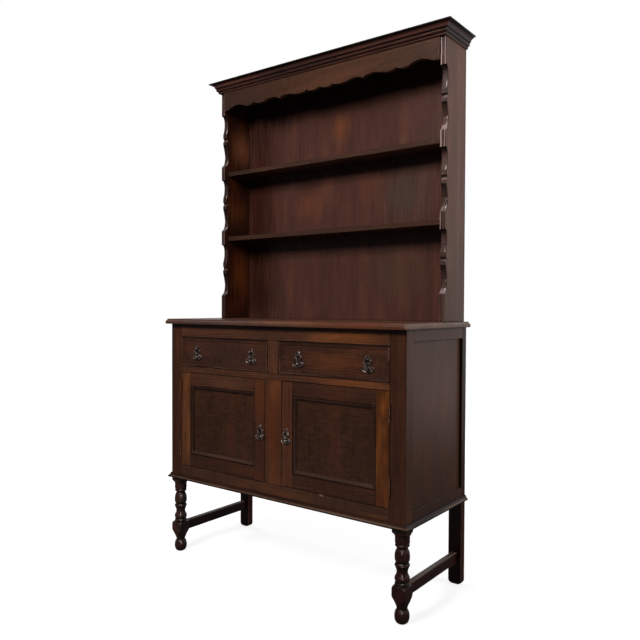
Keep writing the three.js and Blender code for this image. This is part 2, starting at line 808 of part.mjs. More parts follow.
// Half of the frieze's lower edge from the middle outwards: the first share is of the frieze's
// half length and the second of the highest arch.
const friezeMiddleShares = [0, 0.62];
const friezeShares = [
  { to: [0.022, 0.2], via: [0.004, 0.2] },
  { to: [0.1, 0.1], via: [0.055, -0.16] },
  { to: [0.121, 0.62], via: [0.118, 0.25] },
  { to: [0.145, 0.15], via: [0.126, 0.22] },
  { to: [0.25, 0.2], via: [0.19, -0.12] },
  { to: [0.385, 0.14], via: [0.335, 0.98] },
  { to: [0.392, -0.1] },
  { to: [0.4, 0.14] },
  { to: [0.55, 0.2], via: [0.47, 1.12] },
  { to: [0.645, 0.2], via: [0.6, -0.12] },
  { to: [0.667, 0.66], via: [0.66, 0.3] },
  { to: [0.69, 0.2], via: [0.675, 0.25] },
  { to: [0.77, 0.3], via: [0.735, -0.12] },
  { to: [0.95, 0.1], via: [0.855, 1.75] },
  { to: [1, 0.02] },
];

// The frieze is a straight board between the uprights with a fretted lower edge.
function friezeGeometry() {
  const outline = new THREE.Shape();
  const leftHalf = mirrorStrokes(friezeMiddleShares, friezeShares);
  outline.moveTo(-uprightInnerX, friezeShares.at(-1).to[1] * friezeArchHeight);
  drawStrokes(outline, [...leftHalf, ...friezeShares], uprightInnerX, friezeArchHeight);
  outline.lineTo(uprightInnerX, friezeHeight);
  outline.lineTo(-uprightInnerX, friezeHeight);
  const settings = { depth: friezeThickness, bevelEnabled: false, curveSegments: curveSteps };
  const geometry = new THREE.ExtrudeGeometry(outline, settings);
  geometry.rotateX(Math.PI / 2);
  geometry.translate(0, friezeFrontY + friezeThickness, friezeLowPoint);
  return geometry;
}

const corniceShares = [
  { to: [0.1, 0] },
  { to: [0.16, 0.17], via: [0.24, 0.08] },
  { to: [0.26, 0.2] },
  { to: [0.34, 0.38], via: [0.46, 0.27] },
  { to: [0.46, 0.43] },
  { to: [0.78, 0.84], via: [0.48, 0.76] },
  { to: [0.78, 0.9] },
  { to: [1, 0.9] },
  { to: [1, 1] },
  { to: [0, 1] },
];

// The cornice is a top board with a crown moulding planted round its front and ends.
function corniceGeometry() {
  const profile = new THREE.Shape();
  profile.moveTo(0, 0);
  drawStrokes(profile, corniceShares, corniceProjection, corniceHeight);
  const moulding = wrapMoulding(profile, halfRack, friezeFrontY, corniceBase);
  const board = boxBetween([-halfRack, friezeFrontY, rackTop], [halfRack, backY, overallHeight]);
  return join(board, moulding);
}

function shelfGeometry(topHeight) {
  return boxBetween(
    [-uprightInnerX, rackFrontY + shelfSetback, topHeight - shelfThickness],
    [uprightInnerX, rackBackY, topHeight],
  );
}

function buildRack(parent) {
  addPiece(parent, 'rack_upright_left', uprightGeometry(), sideOak, [-halfRack, 0, 0]);
  addPiece(parent, 'rack_upright_right', uprightGeometry(), sideOak, [uprightInnerX, 0, 0]);
  addPiece(parent, 'rack_upper_shelf', shelfGeometry(upperShelfHeight), rackOak);
  addPiece(parent, 'rack_lower_shelf', shelfGeometry(lowerShelfHeight), rackOak);
  const back = boxBetween([-uprightInnerX, rackBackY, tableHeight], [uprightInnerX, backY, rackTop]);
  addPiece(parent, 'rack_back', back, panelOak);
  addPiece(parent, 'frieze', friezeGeometry(), rackOak);
  addPiece(parent, 'cornice', corniceGeometry(), rackOak);
}

const group = new THREE.Group();
buildCarcass(addGroup(group));
buildDrawers(addGroup(group));
for (const [label, side] of bothSides) buildDoor(group, label, side);
buildHinges(addGroup(group));
buildRack(addGroup(group));

export default group;
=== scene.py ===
"""A dresser in dark stained oak, dressed for Blender 4.5.

Every board, turning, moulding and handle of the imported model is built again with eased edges,
planted mouldings and a finish of its own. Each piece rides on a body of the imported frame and
stands for its CAD node, whose box gives its place. Lengths are in metres, +Z is up and the front
faces -Y.
"""

import logging
import math
from dataclasses import dataclass, replace
from enum import Enum
from random import Random

import bmesh
import bpy
from mathutils import Matrix, Vector


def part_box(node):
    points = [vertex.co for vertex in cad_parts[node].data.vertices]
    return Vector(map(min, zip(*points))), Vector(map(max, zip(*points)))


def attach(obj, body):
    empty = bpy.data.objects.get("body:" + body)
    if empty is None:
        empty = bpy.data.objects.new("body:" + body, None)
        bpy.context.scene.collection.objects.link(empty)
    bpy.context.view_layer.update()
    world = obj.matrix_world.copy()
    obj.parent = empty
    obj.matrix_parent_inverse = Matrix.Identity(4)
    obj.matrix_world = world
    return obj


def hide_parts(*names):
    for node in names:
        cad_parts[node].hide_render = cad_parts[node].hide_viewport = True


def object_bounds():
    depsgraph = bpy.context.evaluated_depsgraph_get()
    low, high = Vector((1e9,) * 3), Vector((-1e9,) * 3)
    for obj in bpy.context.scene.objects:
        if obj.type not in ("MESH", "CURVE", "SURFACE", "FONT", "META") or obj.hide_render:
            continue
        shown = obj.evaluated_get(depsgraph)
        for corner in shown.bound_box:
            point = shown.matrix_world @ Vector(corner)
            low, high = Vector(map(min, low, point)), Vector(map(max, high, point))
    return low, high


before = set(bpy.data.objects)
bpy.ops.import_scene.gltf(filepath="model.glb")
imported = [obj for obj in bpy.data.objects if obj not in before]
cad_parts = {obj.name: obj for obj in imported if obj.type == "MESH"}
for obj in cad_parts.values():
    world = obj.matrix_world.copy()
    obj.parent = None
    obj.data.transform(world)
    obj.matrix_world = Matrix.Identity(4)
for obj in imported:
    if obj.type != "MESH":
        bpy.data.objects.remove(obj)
CAD_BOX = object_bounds()
LOG = logging.getLogger("dresser")

MM = 0.001
# Radius of an arris, and how close two points are when they merge.
EASE = 1.2 * MM
WELD = 0.002 * MM
CURVE_STEPS = 8
TUBE_SIDES = 10
# On a piece shaded as round, edges that turn more than this stay sharp.
SHARP_ANGLE = math.radians(32)
# X of a face's normal, above which the face looks sideways or leans that way.
SIDEWAYS, LEANING = 0.8, 0.5
# How far a patch of stain reaches into the wood behind the face that shows it.
PATCH_DEPTH = 50 * MM
# Wear of a face and the light or shade painted on it, from an arris rubbed bare or painted pale to
# a quirk full of old wax or painted shade.
WEAR_AND_PAINTED_LIGHT = "wear"
# Rubbed bare or painted pale as a highlight; plain; painted shade; dust and painted shade; old wax
# and painted shade.
RUBBED_AND_LIT, PLAIN, PAINTED_SHADE, DUSTY_AND_SHADED, WAXED_AND_SHADED = 1.0, 0.0, -0.35, -0.5, -1.0
# Near black, which marked faces darken towards, for old wax and for painted shade.
OLD_WAX_AND_SHADE = "#0b0605"
# Sockets of a mix of colours, whose names also belong to other sockets.
MIX_A, MIX_B, MIX_RESULT = 6, 7, 2

# A stroke is an end point and, where it curves, the point that it leans towards, as shares.
Stroke = tuple[float, ...]
Point = tuple[float, float, float]
# X, Z, half width, half height, colour and strength of a patch.
PatchRow = tuple[float, float, float, float, str, float]
Mesh = bmesh.types.BMesh
Socket = bpy.types.NodeSocket
Tree = bpy.types.NodeTree


def linear(code: str) -> tuple[float, float, float, float]:
    """Turns an sRGB colour into the linear one that shaders use.

    Args:
        code: The colour as #rrggbb.

    Returns:
        Red, green, blue and alpha, linear.
    """
    shares = [int(code[i : i + 2], 16) / 255 for i in (1, 3, 5)]
    red, green, blue = (
        share / 12.92 if share <= 0.04045 else ((share + 0.055) / 1.055) ** 2.4 for share in shares
    )
    return red, green, blue, 1.0


def add_node(
    tree: Tree, kind: str, inputs: dict | None = None, output: int | str = 0, **settings: object
) -> Socket | None:
    """Adds a shader node with its settings and links.

    Args:
        tree: The node tree that takes the node.
        kind: The node's type name after "ShaderNode".
        inputs: By socket name or number, either a socket to link from or a plain value.
        output: Name or number of the output that is wanted.
        settings: The node's own properties.

    Returns:
        That output, or nothing where the node has none.
    """
    node = tree.nodes.new(f"ShaderNode{kind}")
    for name, value in settings.items():
        setattr(node, name, value)
    for key, value in (inputs or {}).items():
        if isinstance(value, Socket):
            tree.links.new(value, node.inputs[key])
        else:
            node.inputs[key].default_value = value
    return node.outputs[output] if node.outputs else None


def calc(tree: Tree, operation: str, *values: Socket | float) -> Socket:
    """Adds a Math node and gives its result."""
    return add_node(tree, "Math", dict(enumerate(values)), operation=operation)


def ramp(
    tree: Tree,
    value: Socket,
    source: tuple[float, float] = (0.0, 1.0),
    target: tuple[float, float] = (0.0, 1.0),
    smooth: bool = False,
) -> Socket:
    """Maps a value from one range to another.

    Args:
        tree: The node tree.
        value: The value.
        source: Ends of the range that it comes from.
        target: Ends of the range that it goes to, which it doesn't leave.
        smooth: Whether it starts and stops gently.

    Returns:
        The mapped value.
    """
    names = ("From Min", "From Max", "To Min", "To Max")
    inputs = {"Value": value, **dict(zip(names, (*source, *target)))}
    kind = "SMOOTHSTEP" if smooth else "LINEAR"
    return add_node(tree, "MapRange", inputs, interpolation_type=kind)


def mix(tree: Tree, share: Socket, under: Socket | tuple, over: str) -> Socket:
    """Mixes one colour over another.

    Args:
        tree: The node tree.
        share: How much of the upper colour shows.
        under: The lower colour, linear.
        over: The upper colour, as #rrggbb.

    Returns:
        The mixed colour.
    """
    inputs = {0: share, MIX_A: under, MIX_B: linear(over)}
    return add_node(tree, "Mix", inputs, MIX_RESULT, data_type="RGBA")


def empty_tree(owner: bpy.types.ID) -> Tree:
    """Empties the node tree of a material or a world.

    Args:
        owner: The material or the world.

    Returns:
        Its tree.
    """
    owner.use_nodes = True
    owner.node_tree.nodes.clear()
    return owner.node_tree


class Grain(Enum):
    """The axis a board's grain runs along, as the turn that lays that axis on local Z."""

    X = (0.0, -math.pi / 2, 0.0)
    Y = (math.pi / 2, 0.0, 0.0)
    Z = (0.0, 0.0, 0.0)


@dataclass(frozen=True)
class StainPatch:
    """A patch where the stain is rubbed thin or lies thick.

    Attributes:
        centre: Middle of the patch.
        reach: Half its size along each axis.
        colour: The wood's colour there.
        strength: How much of it shows in the middle, from 0 to 1.
    """

    centre: Point
    reach: Point
    colour: str
    strength: float


def front_patches(
    front: float, *rows: PatchRow, depth: float = PATCH_DEPTH
) -> tuple[StainPatch, ...]:
    """Makes the patches of a face that looks to the front.

    Args:
        front: Depth of the face.
        rows: The patches.
        depth: How far they reach into the wood.

    Returns:
        The patches.
    """
    return tuple(
        StainPatch((x, front, z), (wide, depth, tall), colour, strength)
        for x, z, wide, tall, colour, strength in rows
    )


@dataclass(frozen=True)
class StainedOak:
    """Sawn European oak, stained dark and varnished.

    The stain gathers in the open pores of the early wood and is rubbed off the arrises, so the eye
    gets fine dark streaks along the grain, slow bands of tone and light, worn edges under a satin
    coat.

    Attributes:
        name: Name of the material.
        dark: Colour of the early wood.
        light: Colour of the late wood.
        warm: Colour where the stain is thin.
        worn: Colour of a rubbed arris, and of faces painted pale as a highlight.
        warmth: Largest share of the warm colour.
        roughness: Mean roughness of the varnish.
        ring_width: Distance between two growth rings as drawn. Real ones are about 3 mm, which the
            render can't show.
        figure: How far the rings part the tone.
        flecks: How far the medullary rays, which cross the grain on quarter-sawn faces, part it.
        pores: How dark the open pores are.
        rubbing: Largest share of bare wood on an arris.
    """

    name: str
    dark: str
    light: str
    warm: str
    worn: str = "#7d6252"
    warmth: float = 0.3
    roughness: float = 0.28
    ring_width: float = 8 * MM
    figure: float = 0.12
    flecks: float = 0.2
    pores: float = 0.4
    rubbing: float = 0.5

    def material(
        self, grain: Grain, seed: int, patches: tuple[StainPatch, ...] = ()
    ) -> bpy.types.Material:
        """Makes the finish of one board.

        Args:
            grain: The axis its grain runs along.
            seed: Number of the board, which places it in the tree it is sawn from.
            patches: Patches where the stain is thin or thick.

        Returns:
            The material.
        """
        made = bpy.data.materials.new(f"{self.name}_{grain.name.lower()}_{seed}")
        tree = empty_tree(made)
        chance = Random(seed)
        heart = (chance.uniform(0.05, 0.3), chance.uniform(0.03, 0.2), chance.uniform(0, 9))
        place = add_node(tree, "TexCoord", output="Object")
        inputs = {"Vector": place, "Rotation": grain.value, "Location": heart}
        board = add_node(tree, "Mapping", inputs)
        fibre = self._streaks(tree, board, across=4.5 * MM, along=130 * MM, detail=3)
        # Real vessels are 0.3 mm wide. They are drawn at 1.4 mm, so that the render shows them.
        pores = self._streaks(tree, board, across=1.4 * MM, along=40 * MM, detail=1)
        cloud = self._streaks(tree, board, across=60 * MM, along=260 * MM, detail=3)
        tone = self._tone(tree, board, fibre, cloud)
        colour = mix(tree, tone, linear(self.dark), self.light)
        thin = ramp(tree, cloud, (0.5, 0.72), (0.0, self.warmth), smooth=True)
        colour = mix(tree, thin, colour, self.warm)
        colour = self._patched(tree, colour, fibre, place, patches)
        full = ramp(tree, pores, (0.54, 0.72), (0.0, self.pores), smooth=True)
        colour = mix(tree, full, colour, self.dark)
        # Rubbed faces take the worn colour, on some pieces a painted highlight; faces marked dark
        # go towards near black, for old wax and for painted shade.
        wear = add_node(tree, "Attribute", output="Fac", attribute_name=WEAR_AND_PAINTED_LIGHT)
        bare = ramp(tree, cloud, (0.3, 0.62), (0.0, self.rubbing), smooth=True)
        colour = mix(tree, calc(tree, "MULTIPLY", wear, bare), colour, self.worn)
        height = calc(tree, "MULTIPLY_ADD", pores, -0.6, fibre)
        bump = {"Strength": 0.35, "Distance": 0.5 * MM, "Height": height}
        shader = {
            "Base Color": mix(tree, calc(tree, "MULTIPLY", wear, -0.9), colour, OLD_WAX_AND_SHADE),
            "Roughness": ramp(tree, fibre, target=(self.roughness - 0.07, self.roughness + 0.1)),
            "Normal": add_node(tree, "Bump", bump),
        }
        add_node(tree, "OutputMaterial", {0: add_node(tree, "BsdfPrincipled", shader)})
        return made

    @staticmethod
    def _streaks(tree: Tree, board: Socket, across: float, along: float, detail: int) -> Socket:
        """Gives noise drawn out along the grain.

        Args:
            tree: The node tree.
            board: Coordinates with the grain along Z.
            across: Size of a streak across the grain.
            along: Size of a streak along the grain.
            detail: Octaves of finer noise.

        Returns:
            The noise, from 0 to 1.
        """
        drawn_out = add_node(tree, "Mapping", {"Vector": board, "Scale": (1, 1, across / along)})
        inputs = {"Vector": drawn_out, "Scale": 1 / across, "Detail": detail}
        return add_node(tree, "TexNoise", inputs)

    def _tone(self, tree: Tree, board: Socket, fibre: Socket, cloud: Socket) -> Socket:
        """Adds up the growth rings, the fibres, the slow change of the stain and the flecks.

        Args:
            tree: The node tree.
            board: Coordinates with the grain along Z.
            fibre: Streaks of the fibres.
            cloud: Slow change of the stain.

        Returns:
            The tone, from 0 to 1.
        """
        inputs = {
            "Vector": add_node(tree, "Mapping", {"Vector": board, "Scale": (1, 1, 0.1)}),
            "Scale": math.pi / 10 / self.ring_width,
            "Distortion": 9.0,
            "Detail": 2.0,
            "Detail Scale": 0.5,
        }
        shape = {"wave_type": "RINGS", "rings_direction": "Z", "wave_profile": "SIN"}
        rings = add_node(tree, "TexWave", inputs, "Fac", **shape)
        rays = self._streaks(tree, board, across=30 * MM, along=6 * MM, detail=2)
        rest = 1 - self.figure - self.flecks
        parts = (
            (rings, (0.0, 1.0), self.figure),
            (fibre, (0.28, 0.72), rest * 0.55),
            (cloud, (0.35, 0.65), rest * 0.45),
            (rays, (0.36, 0.64), self.flecks),
        )
        tone, *more = [ramp(tree, value, span, (0.0, share)) for value, span, share in parts]
        for part in more:
            tone = calc(tree, "ADD", tone, part)
        return tone

    @staticmethod
    def _patched(
        tree: Tree, colour: Socket, fibre: Socket, place: Socket, patches: tuple[StainPatch, ...]
    ) -> Socket:
        """Lays the patches on the wood, with edges that run out along its fibres.

        Args:
            tree: The node tree.
            colour: Colour of the wood.
            fibre: Streaks of its fibres.
            place: The object's own coordinates.
            patches: The patches.

        Returns:
            The colour.
        """
        for patch in patches:
            spread = tuple(1 / reach for reach in patch.reach)
            shift = tuple(-centre * scale for centre, scale in zip(patch.centre, spread))
            inputs = {"Vector": place, "Scale": spread, "Location": shift}
            local = add_node(tree, "Mapping", inputs)
            far = add_node(tree, "VectorMath", {0: local}, "Value", operation="LENGTH")
            ragged = calc(tree, "MULTIPLY_ADD", fibre, -1.4, far)
            share = ramp(tree, ragged, (0.3, -0.75), (0.0, patch.strength), smooth=True)
            colour = mix(tree, share, colour, patch.colour)
        return colour


@dataclass(frozen=True)
class CastMetal:
    """Cast metal with an old patina: dull in the hollows and rubbed brighter in patches.

    Attributes:
        name: Name of the material.
        patina: Colour of the dull metal.
        rubbed: Colour of the bright metal.
        roughness: Mean roughness.
        metallic: How bare the metal is.
    """

    name: str
    patina: str
    rubbed: str
    roughness: float
    metallic: float

    def material(self) -> bpy.types.Material:
        """Makes the finish, with a grain of about 2 mm as sand casting leaves.

        Returns:
            The material.
        """
        made = bpy.data.materials.new(self.name)
        tree = empty_tree(made)
        place = add_node(tree, "TexCoord", output="Object")
        cast, wear = (
            add_node(tree, "TexNoise", {"Vector": place, "Scale": 1 / size, "Detail": detail})
            for size, detail in ((2 * MM, 3.0), (9 * MM, 2.0))
        )
        share = ramp(tree, wear, (0.42, 0.66))
        bump = {"Strength": 0.3, "Distance": 0.3 * MM, "Height": cast}
        shader = {
            "Base Color": mix(tree, share, linear(self.patina), self.rubbed),
            "Metallic": self.metallic,
            "Roughness": ramp(tree, cast, target=(self.roughness - 0.1, self.roughness + 0.15)),
            "Normal": add_node(tree, "Bump", bump),
        }
        add_node(tree, "OutputMaterial", {0: add_node(tree, "BsdfPrincipled", shader)})
        return made


# The front frame, dark with warm patches where hands and dusters rub the stain thin.
FRAME_OAK = StainedOak(
    "frame_oak", dark="#27150f", light="#5f3a28", warm="#7b4420", warmth=0.4, figure=0.3
)
# Bottom rail of the front, duller than the rest of the frame.
LOW_RAIL_OAK = StainedOak(
    "low_rail_oak", dark="#26170f", light="#543424", warm="#6c3d1c", warmth=0.4
)
# Hinge stiles of the doors, where the stain is mottled and golden wood shows through.
STILE_OAK = StainedOak("stile_oak", dark="#2c140b", light="#663a1b", warm="#895021", warmth=0.7)
# Latch stiles of the doors, redder and less mottled.
LATCH_OAK = StainedOak("latch_oak", dark="#220f0a", light="#5e3422", warm="#683918", warmth=0.5)
# Door rails and drawer fronts, quarter sawn and stained darker, with flecks and open pores.
RAIL_OAK = StainedOak(
    "rail_oak",
    dark="#22120d",
    light="#4e2e21",
    warm="#61341c",
    worn="#745240",
    figure=0.3,
    flecks=0.3,
    pores=0.5,
)
# The small mouldings of the doors, painted dark as shade, with wax in their quirks.
SHADED_MOULD_OAK = StainedOak("shaded_mould_oak", dark="#1c0f0a", light="#3a241a", warm="#4a261c", rubbing=0.3)
# The lowest of them, painted paler as a highlight where its upper face catches the light.
LIT_ROLL_OAK = StainedOak("lit_roll_oak", dark="#281812", light="#4c352a", warm="#52302a")
# Flat panels of the doors, quarter sawn, with flecks and a reddish cast in patches.
PANEL_OAK = StainedOak(
    "panel_oak",
    dark="#25140d",
    light="#452a1b",
    warm="#58221a",
    warmth=0.15,
    figure=0.05,
    flecks=0.45,
    pores=0.25,
)
# Back of the rack, plain sawn with wide rings and reddish from an older coat.
BACK_OAK = StainedOak(
    "back_oak",
    dark="#3a231d",
    light="#55342b",
    warm="#5e3825",
    warmth=0.4,
    ring_width=18 * MM,
    figure=0.06,
    flecks=0.1,
    pores=0.2,
)
# Frieze, shelves and top board of the rack, a dull brown.
RACK_OAK = StainedOak("rack_oak", dark="#2c1b14", light="#573623", warm="#5f3626", warmth=0.4)
# Table top, polished paler by use.
TABLE_OAK = StainedOak("table_oak", dark="#37231d", light="#6a442f", warm="#744433", warmth=0.4)
# Its two ends, bleached like the sides.
TABLE_END_OAK = StainedOak("table_end_oak", dark="#4c3b35", light="#84695c", warm="#84624f")
# Crown moulding, redder than the frieze under it.
CROWN_OAK = StainedOak(
    "crown_oak", dark="#2f1c18", light="#56342b", warm="#63362e", warmth=0.4, flecks=0.05
)
# Outer faces of the sides, bleached by the light from a window to a greyish brown.
SIDE_OAK = StainedOak(
    "side_oak", dark="#432a20", light="#603b2c", warm="#673d29", flecks=0.15, pores=0.35
)
# Side faces of the corner posts, bleached less.
POST_SIDE_OAK = StainedOak(
    "post_side_oak", dark="#3b2319", light="#513022", warm="#573320", flecks=0.1, pores=0.25
)
# Outer faces of the uprights, pinker than the cupboard's sides.
RACK_SIDE_OAK = StainedOak(
    "rack_side_oak", dark="#4c3025", light="#6e4734", warm="#784a31", flecks=0.1, pores=0.35
)
# Return of the crown moulding, dull and purplish.
RETURN_OAK = StainedOak("return_oak", dark="#352323", light="#573e3d", warm="#5d3f3d", flecks=0.05)
# Inner faces of the uprights, in shade, with golden wood showing through.
UPRIGHT_OAK = StainedOak("upright_oak", dark="#2e160f", light="#52291a", warm="#713917", warmth=0.6)
# Their front edges, greyish, with a pinkish worn colour that their rubbed faces take as painted
# highlights.
EDGE_OAK = StainedOak(
    "edge_oak", dark="#2c1b16", light="#5c443e", warm="#5c3020", worn="#a88c88", rubbing=0.85
)
# Front edge of the left upright, darker and with fewer painted highlights.
LEFT_EDGE_OAK = replace(EDGE_OAK, name="left_edge_oak", light="#3c2b27", rubbing=0.3)
# Corner posts and base moulding, darker than the rails between them.
POST_OAK = StainedOak("post_oak", dark="#28150e", light="#4b2a1a", warm="#5b331e", warmth=0.4)
# Legs and stretchers, near black, with pale wood on their rubbed arrises.
LEG_OAK = StainedOak(
    "leg_oak",
    dark="#1a0905",
    light="#35150f",
    warm="#3f140d",
    worn="#7a6252",
    roughness=0.34,
    rubbing=0.85,
)
# Unstained oak inside, dulled by dust.
INNER_OAK = StainedOak("inner_oak", dark="#5c4330", light="#8e6b4d", warm="#93673f", roughness=0.7)
# Handles: cast brass, darkened to bronze, with soft highlights.
BRONZE = CastMetal("bronze", patina="#54443c", rubbed="#a0918c", roughness=0.38, metallic=0.8)
# Butt hinges: iron, stained over with the doors, so that they blend in with the wood.
IRON = CastMetal("iron", patina="#4a2a18", rubbed="#6b4024", roughness=0.5, metallic=0.2)


def trace(
    strokes: tuple[Stroke, ...],
    size: tuple[float, float],
    start: tuple[float, float] = (0.0, 0.0),
    steps: int = CURVE_STEPS,
) -> list[Vector]:
    """Follows strokes given in shares of a size.

    Args:
        strokes: The strokes.
        size: What a share of 1 measures along each axis.
        start: Where the first stroke starts, in shares.
        steps: Points on a curve.

    Returns:
        The points, in metres.
    """
    points = [Vector(start)]
    for x, y, *via in strokes:
        begin, end = points[-1], Vector((x, y))
        if not via:
            points.append(end)
            continue
        lean = Vector(via)
        for step in range(1, steps + 1):
            t = step / steps
            points.append(begin * (1 - t) ** 2 + lean * (2 * t * (1 - t)) + end * t**2)
    return [Vector((point.x * size[0], point.y * size[1])) for point in points]


def mirror(points: list[Vector]) -> list[Vector]:
    """Mirrors flat points left to right and turns their order round."""
    return [Vector((-point.x, point.y)) for point in reversed(points)]


def stand(points: list[Vector], y: float) -> list[Vector]:
    """Stands flat points, given as across and up, in space at a depth."""
    return [Vector((point.x, y, point.y)) for point in points]


def turns(count: int) -> list[float]:
    """Gives a number of angles in radians, spread evenly round a circle."""
    return [2 * math.pi * step / count for step in range(count)]


def inset(outline: list[Vector], depth: float | list[float]) -> list[Vector]:
    """Moves a closed outline inwards.

    Args:
        outline: Its points, in order either way round.
        depth: How far, for all points or one each.

    Returns:
        The moved points.
    """
    count = len(outline)
    depths = depth if isinstance(depth, list) else [depth] * count
    area = sum(outline[i - 1].cross(outline[i]) for i in range(count))
    turn = 1 if area > 0 else -1
    moved = []
    for i, point in enumerate(outline):
        before = (point - outline[i - 1]).normalized()
        after = (outline[(i + 1) % count] - point).normalized()
        first = Vector((-before.y, before.x))
        middle = (first + Vector((-after.y, after.x))).normalized()
        reach = depths[i] * turn / max(middle.dot(first), 0.5)
        moved.append(point + middle * reach)
    return moved


def smooth_path(points: list[Vector], steps: int = 5) -> list[Vector]:
    """Draws a smooth curve through points.

    Args:
        points: The points that it passes through.
        steps: Pieces between two of them.

    Returns:
        The points of the curve.
    """
    ends = [points[0] * 2 - points[1], *points, points[-1] * 2 - points[-2]]
    curve = [points[0]]
    for a, b, c, d in zip(ends, ends[1:], ends[2:], ends[3:]):
        for step in range(1, steps + 1):
            t = step / steps
            curve.append(
                (b * 2 + (c - a) * t + (a * 2 - b * 5 + c * 4 - d) * t**2) / 2
                + (b * 3 - a - c * 3 + d) * t**3 / 2
            )
    return curve


def new_mesh() -> Mesh:
    """Starts an empty mesh whose faces can be marked as rubbed or waxed, or painted with light or
    shade.

    Returns:
        The mesh.
    """
    bm = bmesh.new()
    bm.faces.layers.float.new(WEAR_AND_PAINTED_LIGHT)
    return bm


def mark(bm: Mesh, faces: list, wear: float, material: int | None = None) -> None:
    """Marks faces as rubbed or waxed, or as painted with light or shade, and gives them a material.

    Args:
        bm: Their mesh.
        faces: The faces.
        wear: Their wear, or the light or shade painted on them.
        material: Number of their material, if it changes.
    """
    layer = bm.faces.layers.float[WEAR_AND_PAINTED_LIGHT]
    for face in faces:
        face[layer] = wear
        if material is not None:
            face.material_index = material


def add_board(
    bm: Mesh,
    low: Vector,
    high: Vector,
    ease: float = EASE,
    material: int = 0,
    wear: float = DUSTY_AND_SHADED,
) -> None:
    """Adds a board with eased arrises.

    Args:
        bm: The mesh.
        low: Its lowest corner.
        high: Its highest corner.
        ease: Radius of its arrises.
        material: Number of its material.
        wear: Wear of its arrises.
    """
    verts = bmesh.ops.create_cube(bm, size=1.0)["verts"]
    bmesh.ops.scale(bm, vec=high - low, verts=verts)
    bmesh.ops.translate(bm, vec=(low + high) / 2, verts=verts)
    mark(bm, list({face for vert in verts for face in vert.link_faces}), PLAIN, material)
    made = bmesh.ops.bevel(
        bm,
        geom=list({edge for vert in verts for edge in vert.link_edges}),
        offset=ease,
        offset_type="OFFSET",
        segments=2,
        profile=0.5,
        affect="EDGES",
        material=-1,
    )
    mark(bm, made["faces"], wear)


def add_boards(
    bm: Mesh, boards: tuple[tuple[Stroke, Stroke], ...], ease: float = EASE, material: int = 0
) -> None:
    """Adds several boards, each given as its lowest and its highest corner."""
    for low, high in boards:
        add_board(bm, Vector(low), Vector(high), ease, material)


def add_skin(
    bm: Mesh,
    rings: list[list[Vector]],
    rubbed: tuple[int, ...] = (),
    waxed: tuple[int, ...] = (),
    quirks: tuple[int, ...] = (),
    materials: tuple[int, ...] = (),
    capped: bool = True,
) -> tuple[list, list]:
    """Extrudes a closed ring of edges from one ring of points to the next.

    Args:
        bm: The mesh.
        rings: The rings, each with the same number of points.
        rubbed: Steps whose faces are rubbed arrises, or faces painted pale as highlights.
        waxed: Steps whose faces are quirks, darkened with old wax and painted shade.
        quirks: Edges of the ring whose faces are quirks all the way, darkened the same way.
        materials: Material number of each step, if they differ.
        capped: Whether the first and the last ring are filled.

    Returns:
        The edges of the first ring and those of the last.
    """
    verts = [bm.verts.new(point) for point in rings[0]]
    count = len(verts)
    edges = [bm.edges.new((verts[i], verts[(i + 1) % count])) for i in range(count)]
    first = edges
    for step, ring in enumerate(rings[1:]):
        known = set(verts)
        bmesh.ops.extrude_edge_only(bm, edges=edges)
        after = {}
        for vert in verts:
            for edge in vert.link_edges:
                other = edge.other_vert(vert)
                if other not in known and len(edge.link_faces) == 2 and not other.tag:
                    after[vert] = other
        for vert in verts:
            vert.tag = True
        verts = [after[vert] for vert in verts]
        for vert, point in zip(verts, ring):
            vert.co = point
        edges = [bm.edges.get((verts[i], verts[(i + 1) % count])) for i in range(count)]
        faces = [edge.link_faces[0] for edge in edges]
        wear = RUBBED_AND_LIT if step in rubbed else WAXED_AND_SHADED if step in waxed else PLAIN
        mark(bm, faces, wear, materials[step] if materials else None)
        mark(bm, [faces[i] for i in quirks], WAXED_AND_SHADED)
    if capped:
        for ends in (first, edges):
            made = bmesh.ops.edgeloop_fill(bm, edges=ends)
            mark(bm, made["faces"], PLAIN)
    return first, edges


def add_slab(bm: Mesh, outline: list[Vector], front: float, back: float) -> None:
    """Adds a board of any outline, with rubbed arrises round its front and its back.

    Args:
        bm: The mesh.
        outline: Its outline: across and up.
        front: Depth of its front.
        back: Depth of its back.
    """
    eased = inset(outline, EASE)
    layers = ((eased, front), (outline, front + EASE), (outline, back - EASE), (eased, back))
    add_skin(bm, [stand(points, y) for points, y in layers], rubbed=(0, 2))


def add_tube(bm: Mesh, path: list[Vector], radii: list[float], sides: int = TUBE_SIDES) -> None:
    """Adds a round bar along a path.

    Args:
        bm: The mesh.
        path: Points of its middle line.
        radii: Its radius at each point.
        sides: Sides of its section.
    """
    rings = []
    across = None
    for i, point in enumerate(path):
        ahead = (path[min(i + 1, len(path) - 1)] - path[max(i - 1, 0)]).normalized()
        if across is None:
            across = ahead.orthogonal().normalized()
        across = (across - ahead * across.dot(ahead)).normalized()
        up = ahead.cross(across)
        rings.append(
            [point + (across * math.cos(a) + up * math.sin(a)) * radii[i] for a in turns(sides)]
        )
    add_skin(bm, rings)


def add_bulge(bm: Mesh, points: list[Vector], thin: float, bulge: float) -> None:
    """Adds a round bar through points, thin at its ends and thicker in its middle.

    Args:
        bm: The mesh.
        points: The points.
        thin: Its radius at the ends.
        bulge: How much larger its radius is in the middle.
    """
    path = smooth_path(points)
    last = len(path) - 1
    shares = (math.sin(math.pi * i / last) for i in range(last + 1))
    add_tube(bm, path, [thin + bulge * share for share in shares])


